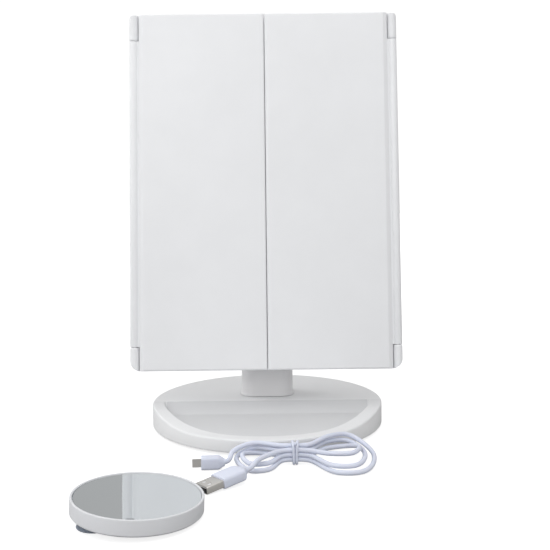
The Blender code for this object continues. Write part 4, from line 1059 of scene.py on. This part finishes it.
def smooth_path(keys, step):
    """Centripetal Catmull-Rom curve through the keys, resampled about every step."""
    points = [np.array(key, float) for key in keys]
    points = [2 * points[0] - points[1]] + points + [2 * points[-1] - points[-2]]

    def between(first, second, start, end, t):
        return (end - t) / (end - start) * first + (t - start) / (end - start) * second

    curve = []
    for four in zip(points, points[1:], points[2:], points[3:]):
        knots = [0.0]
        for before, after in zip(four, four[1:]):
            knots.append(knots[-1] + np.linalg.norm(after - before) ** 0.5)
        for k in range(16):
            t = knots[1] + (knots[2] - knots[1]) * k / 16
            level = [between(four[i], four[i + 1], knots[i], knots[i + 1], t) for i in range(3)]
            level = [between(level[i], level[i + 1], knots[i], knots[i + 2], t) for i in range(2)]
            curve.append(between(level[0], level[1], knots[1], knots[2], t))
    curve.append(points[-2])
    curve = np.array(curve)
    lengths = np.linalg.norm(np.diff(curve, axis=0), axis=1)
    run = np.concatenate([[0], np.cumsum(lengths)])
    count = max(4, int(round(run[-1] / step)))
    even = np.linspace(0, run[-1], count + 1)
    return np.stack([np.interp(even, run, curve[:, i]) for i in range(3)], axis=1)


# ---------------------------------------------------------------- cord, tie and plugs
TIE_HALF, TIE_LOW, TIE_TOP, TIE_CORNER_R, TIE_R = 4.15, 0.86, 13.1, 2.4, 0.8
USB_GRIP, USB_CONTACTS = 19.0, (-3.3, -1.1, 1.1, 3.3)
MICRO_GRIP = 13.8
# (distance from the plug end, width factor, thickness factor) of a grip's softened plug end
GRIP_END = ((0.0, 0.955, 0.93), (0.12, 0.975, 0.96), (0.35, 0.992, 0.985), (0.8, 1.0, 1.0))


def build_cord_run():
    path = smooth_path(cord_keys(), 0.9)
    kernel = np.exp(-np.linspace(-2, 2, 9) ** 2)
    kernel /= kernel.sum()
    padded = np.vstack([np.repeat(path[:1], 4, 0), path, np.repeat(path[-1:], 4, 0)])
    path = np.stack([np.convolve(padded[:, i], kernel, "valid") for i in range(3)], axis=1)
    path[:, 2] = np.maximum(path[:, 2], CORD_R + 0.1)   # never below the table
    cord = loft("cord", sweep(path, CORD_R + 0.08, 24), sharp=60, mat=CORD_WHITE)
    put(cord, "cable", "cord", "cable_cord")


def build_tie():
    box = (TIE_Y - TIE_HALF, TIE_Y + TIE_HALF, TIE_LOW, TIE_TOP)
    corners = rounded_rect(box, TIE_CORNER_R, 8)
    outline = []
    for start, end in zip(corners, corners[1:] + corners[:1]):
        pieces = 6 if math.dist(start, end) > 2 else 1
        outline += [(start[0] + (end[0] - start[0]) * k / 6,
                     start[1] + (end[1] - start[1]) * k / 6) for k in range(pieces)]
    for number, side in ((1, -1), (2, 1)):
        # the two strands lie close together low in front and part towards the back of the top
        ring = []
        for y, z in outline:
            part = min(max((y - TIE_Y + z - 7.0 + TIE_HALF) / 12.0, 0.0), 1.0)
            ring.append((TIE_X + side * (0.84 + 0.75 * part), y, z))
        strand = loft("tie_%d" % number, sweep(ring, TIE_R, 14, closed=True), sharp=60,
                      mat=CORD_WHITE, closed=True)
        put(strand, "cable", "cord", *(["cable_tie"] if number == 1 else []))

    # the tie's two ends, twisted together on top
    twist = [(TIE_X + 0.55 * math.cos(2.4 * k), TIE_Y - 3.4 - 0.35 * k + 0.3 * math.sin(2.4 * k),
              TIE_TOP + 0.45 - 0.1 * k) for k in range(5)]
    twist = smooth_path(twist, 0.4)
    radii = [0.72] * (len(twist) - 2) + [0.6, 0.35]
    tail = loft("tie_twist", sweep(twist, radii, 12), sharp=60, mat=CORD_WHITE)
    put(tail, "cable", "cord")


def plug_grip(name, length, half_width, half_thick, taper, matrix):
    """Moulded grip from -length to 0 along x, tapering to the cord over its last stretch."""
    end_width, end_thick = CORD_R + 1.0, CORD_R + 0.9

    def ring(x, wide, thick, roundness):
        radius = min(wide, thick) * roundness
        return on("x", x, rounded_rect((-wide, wide, -thick, thick), radius, 6))

    rings = [ring(-length + off, half_width * wide, half_thick * thick, 0.55)
             for off, wide, thick in GRIP_END]
    for k in range(17):
        part = k / 16
        full = 1 - (part * part * (3 - 2 * part))
        rings.append(ring(-taper + taper * part,
                          end_width + (half_width - end_width) * full,
                          end_thick + (half_thick - end_thick) * full, 0.55 + 0.4 * part))
    rings.append(ring(0.0, end_width - 0.3, end_thick - 0.3, 0.95))
    return loft(name, rings, matrix, 45, CORD_WHITE)


def build_usb_plug():
    usb = plug_matrix(USB_POSE, MM)
    grip = plug_grip("plug_a_grip", USB_GRIP, 6.6, 3.1, 5.0, usb)
    put(grip, "cable", "cord", "usb_a_grip")
    shell = face_round("plug_a_metal", inset_rect((-5.5, 5.5, -2.05, 2.05), 0.5, 4), "x",
                       -30.4, -USB_GRIP + 0.1, 0.12, 0.0, usb, PLUG_METAL, steps=2)
    tools = [prism("mouth", rounded_rect((-5.15, 5.15, -1.7, 1.7), 0.3, 3), "x", -50, -20.2, usb)]
    for y in (-2.5, 2.5):
        tools.append(pad_box("window", ((-27.5, -25.1), (y - 1.15, y + 1.15), (-10, 10)),
                             0.1, usb))
    cut(shell, *tools, sharp=30)
    put(shell, "cable", "steel", "usb_a_shell")
    tongue = pad_box("plug_a_tongue", ((-29.9, -20.4), (-4.9, 4.9), (-1.4, 0.0)),
                     0.15, usb, BLACK, 2)
    put(tongue, "cable", "black_plastic", "usb_a_tongue")
    liner = pad_box("plug_a_liner", ((-29.9, -20.4), (-4.95, 4.95), (0.75, 1.62)),
                    0.1, usb, INNER, 2)
    put(liner, "cable", "white_plastic")
    for number, y in enumerate(USB_CONTACTS, 1):
        contact = pad_box("plug_a_contact_%d" % number,
                          ((-29.1, -22.4), (y - 0.55, y + 0.55), (-0.08, 0.12)),
                          0.04, usb, GOLD, 1)
        put(contact, "cable", "steel")


def micro_outline(wide, narrow, low, middle, high):
    """Box with its two lower corners cut off; wide and narrow are half widths."""
    return [(-wide, high), (-wide, middle), (-narrow, low),
            (narrow, low), (wide, middle), (wide, high)]


def build_micro_plug():
    micro = plug_matrix(MICRO_POSE, MM)
    grip = plug_grip("plug_micro_grip", MICRO_GRIP, 3.9, 3.1, 3.9, micro)
    put(grip, "cable", "cord", "micro_usb_grip")
    tip = face_round("plug_micro_metal",
                     lambda i: micro_outline(2.45 - i, 1.75 - i * 0.6, -0.9 + i, 0.1, 0.9 - i),
                     "x", -19.0, -MICRO_GRIP + 0.1, 0.08, 0.0, micro, PLUG_METAL,
                     steps=2, sharp=25)
    mouth = micro_outline(2.1, 1.5, -0.55, 0.15, 0.55)
    cut(tip, prism("mouth", mouth, "x", -30, -14.8, micro), sharp=25)
    put(tip, "cable", "steel", "micro_usb_shell")


build_base()
build_neck()
build_housing()
build_front()
build_switch()
build_hatch()
for wing_side, wing_word in SIDES:
    build_wing(wing_side, wing_word)
build_spot()
build_cord_run()
build_tie()
build_usb_plug()
build_micro_plug()


# ---------------------------------------------------------------- floor, light, camera (metres)
FLOOR_HALF, FLOOR_Z = 6.0, -0.0003
LIGHT_AIM = (0, -0.03, 0.12)
# name, place, side of the square, watts, shows in reflections
# (the two that don't would stand in the small mirror as blank white panels)
LIGHTS = (
    ("side_left", (-1.6, -0.1, 0.6), 1.2, 6.6, False),
    ("front_high", (0.1, -1.3, 1.9), 1.2, 9.0, True),
    ("front_soft", (0.2, -2.0, 0.6), 1.2, 2.5, True),
    ("near_left", (-0.45, -0.9, 0.75), 0.6, 1.65, True),
    ("top_soft", (0.0, -0.1, 1.9), 1.6, 4.1, True),
    ("back_left", (-1.2, 0.8, 1.0), 1.0, 6.5, False))
# strength of the room's light by direction; SEEN is what the camera sees directly
ROOM_FRONT, ROOM_FRONT_HIGH, ROOM_BACK_LEFT, ROOM_BACK_RIGHT = 0.686, 0.60, 0.425, 0.62
ROOM_SEEN = 1.05
CAMERA_AT = Vector((4.946, -569.61, 159.57)) * MM
CAMERA_YAW, CAMERA_PITCH, CAMERA_ROLL = 0.0027, 0.0974, -0.0114   # radians


def floor_material():
    """Matt white paper that takes soft shadows and glows to read as a seamless white sweep."""
    mat, tree, shader, place = new_material("studio_floor")
    set_inputs(shader, {"Base Color": (0.42, 0.42, 0.42, 1), "Roughness": 0.9,
                        "Specular IOR Level": 0.0, "Emission Color": (1, 1, 1, 1)})
    far = add(tree, "ShaderNodeVectorMath", operation="LENGTH")
    tree.links.new(place, far.inputs[0])
    glow = map_range(tree, far.outputs["Value"], 0.79, 1.12, span=(0.25, 1.2))
    path = add(tree, "ShaderNodeLightPath")
    seen = add(tree, "ShaderNodeMath", operation="MULTIPLY")
    tree.links.new(glow, seen.inputs[0])
    tree.links.new(path.outputs["Is Camera Ray"], seen.inputs[1])
    tree.links.new(seen.outputs["Value"], shader.inputs["Emission Strength"])
    return mat


def build_floor():
    mesh = bpy.data.meshes.new("studio_floor")
    corners = ((-1, -1), (1, -1), (1, 1), (-1, 1))
    mesh.from_pydata([(FLOOR_HALF * x, FLOOR_HALF * y, FLOOR_Z) for x, y in corners], [],
                     [(0, 1, 2, 3)])
    floor = bpy.data.objects.new("studio_floor", mesh)
    bpy.context.scene.collection.objects.link(floor)
    mesh.materials.append(floor_material())


def build_lights():
    for name, place, size, power, reflected in LIGHTS:
        data = bpy.data.lights.new(name, "AREA")
        data.shape, data.size, data.size_y, data.energy = "RECTANGLE", size, size, power
        light = bpy.data.objects.new(name, data)
        light.location = place
        light.rotation_mode = "QUATERNION"
        aim = Vector(LIGHT_AIM) - Vector(place)
        light.rotation_quaternion = aim.to_track_quat("-Z", "Y")
        bpy.context.scene.collection.objects.link(light)
        if not reflected:
            light.visible_glossy = False


def build_world():
    """An even room in front, dimmer higher up, and dimmer to the back left."""
    world = bpy.data.worlds.new("studio")
    bpy.context.scene.world = world
    world.use_nodes = True
    tree = world.node_tree
    tree.nodes.clear()
    out = add(tree, "ShaderNodeOutputWorld")
    lit = add(tree, "ShaderNodeBackground", Color=(1.0, 1.0, 1.0, 1))
    seen = add(tree, "ShaderNodeBackground", Color=(1.0, 1.0, 1.0, 1), Strength=ROOM_SEEN)
    mix = add(tree, "ShaderNodeMixShader")
    path = add(tree, "ShaderNodeLightPath")
    coord = add(tree, "ShaderNodeTexCoord")
    split = add(tree, "ShaderNodeSeparateXYZ")
    tree.links.new(coord.outputs["Generated"], split.inputs[0])

    def ramp(axis, start, end, low, high):
        return map_range(tree, split.outputs[axis], low, high, (start, end), "SMOOTHSTEP")

    front = ramp("Z", 0.50, 0.64, ROOM_FRONT, ROOM_FRONT_HIGH)
    back = ramp("X", -0.30, 0.15, ROOM_BACK_LEFT, ROOM_BACK_RIGHT)
    behind = ramp("Y", -0.15, 0.25, 0.0, 1.0)
    room = add(tree, "ShaderNodeMix", data_type="FLOAT")
    for socket, source in ((0, behind), (2, front), (3, back)):
        tree.links.new(source, room.inputs[socket])
    tree.links.new(room.outputs[0], lit.inputs["Strength"])
    tree.links.new(path.outputs["Is Camera Ray"], mix.inputs[0])
    tree.links.new(lit.outputs[0], mix.inputs[1])
    tree.links.new(seen.outputs[0], mix.inputs[2])
    tree.links.new(mix.outputs[0], out.inputs[0])


def build_camera():
    data = bpy.data.cameras.new("view")
    data.sensor_fit = "HORIZONTAL"
    data.sensor_width = 36.0
    data.lens = 53.876291
    data.clip_start, data.clip_end = 0.02, 30.0
    cam = bpy.data.objects.new("view", data)
    bpy.context.scene.collection.objects.link(cam)
    forward = Vector((math.sin(CAMERA_YAW) * math.cos(CAMERA_PITCH),
                      math.cos(CAMERA_YAW) * math.cos(CAMERA_PITCH), -math.sin(CAMERA_PITCH)))
    level = Vector((math.cos(CAMERA_YAW), -math.sin(CAMERA_YAW), 0.0))
    upright = level.cross(forward)
    right = math.cos(CAMERA_ROLL) * level + math.sin(CAMERA_ROLL) * upright
    top = -math.sin(CAMERA_ROLL) * level + math.cos(CAMERA_ROLL) * upright
    cam.matrix_world = Matrix((
        (right.x, top.x, -forward.x, CAMERA_AT.x),
        (right.y, top.y, -forward.y, CAMERA_AT.y),
        (right.z, top.z, -forward.z, CAMERA_AT.z),
        (0, 0, 0, 1)))
    bpy.context.scene.camera = cam


build_floor()
build_lights()
build_world()
build_camera()
bpy.context.scene.view_settings.view_transform = "Standard"
bpy.context.scene.view_settings.look = "None"
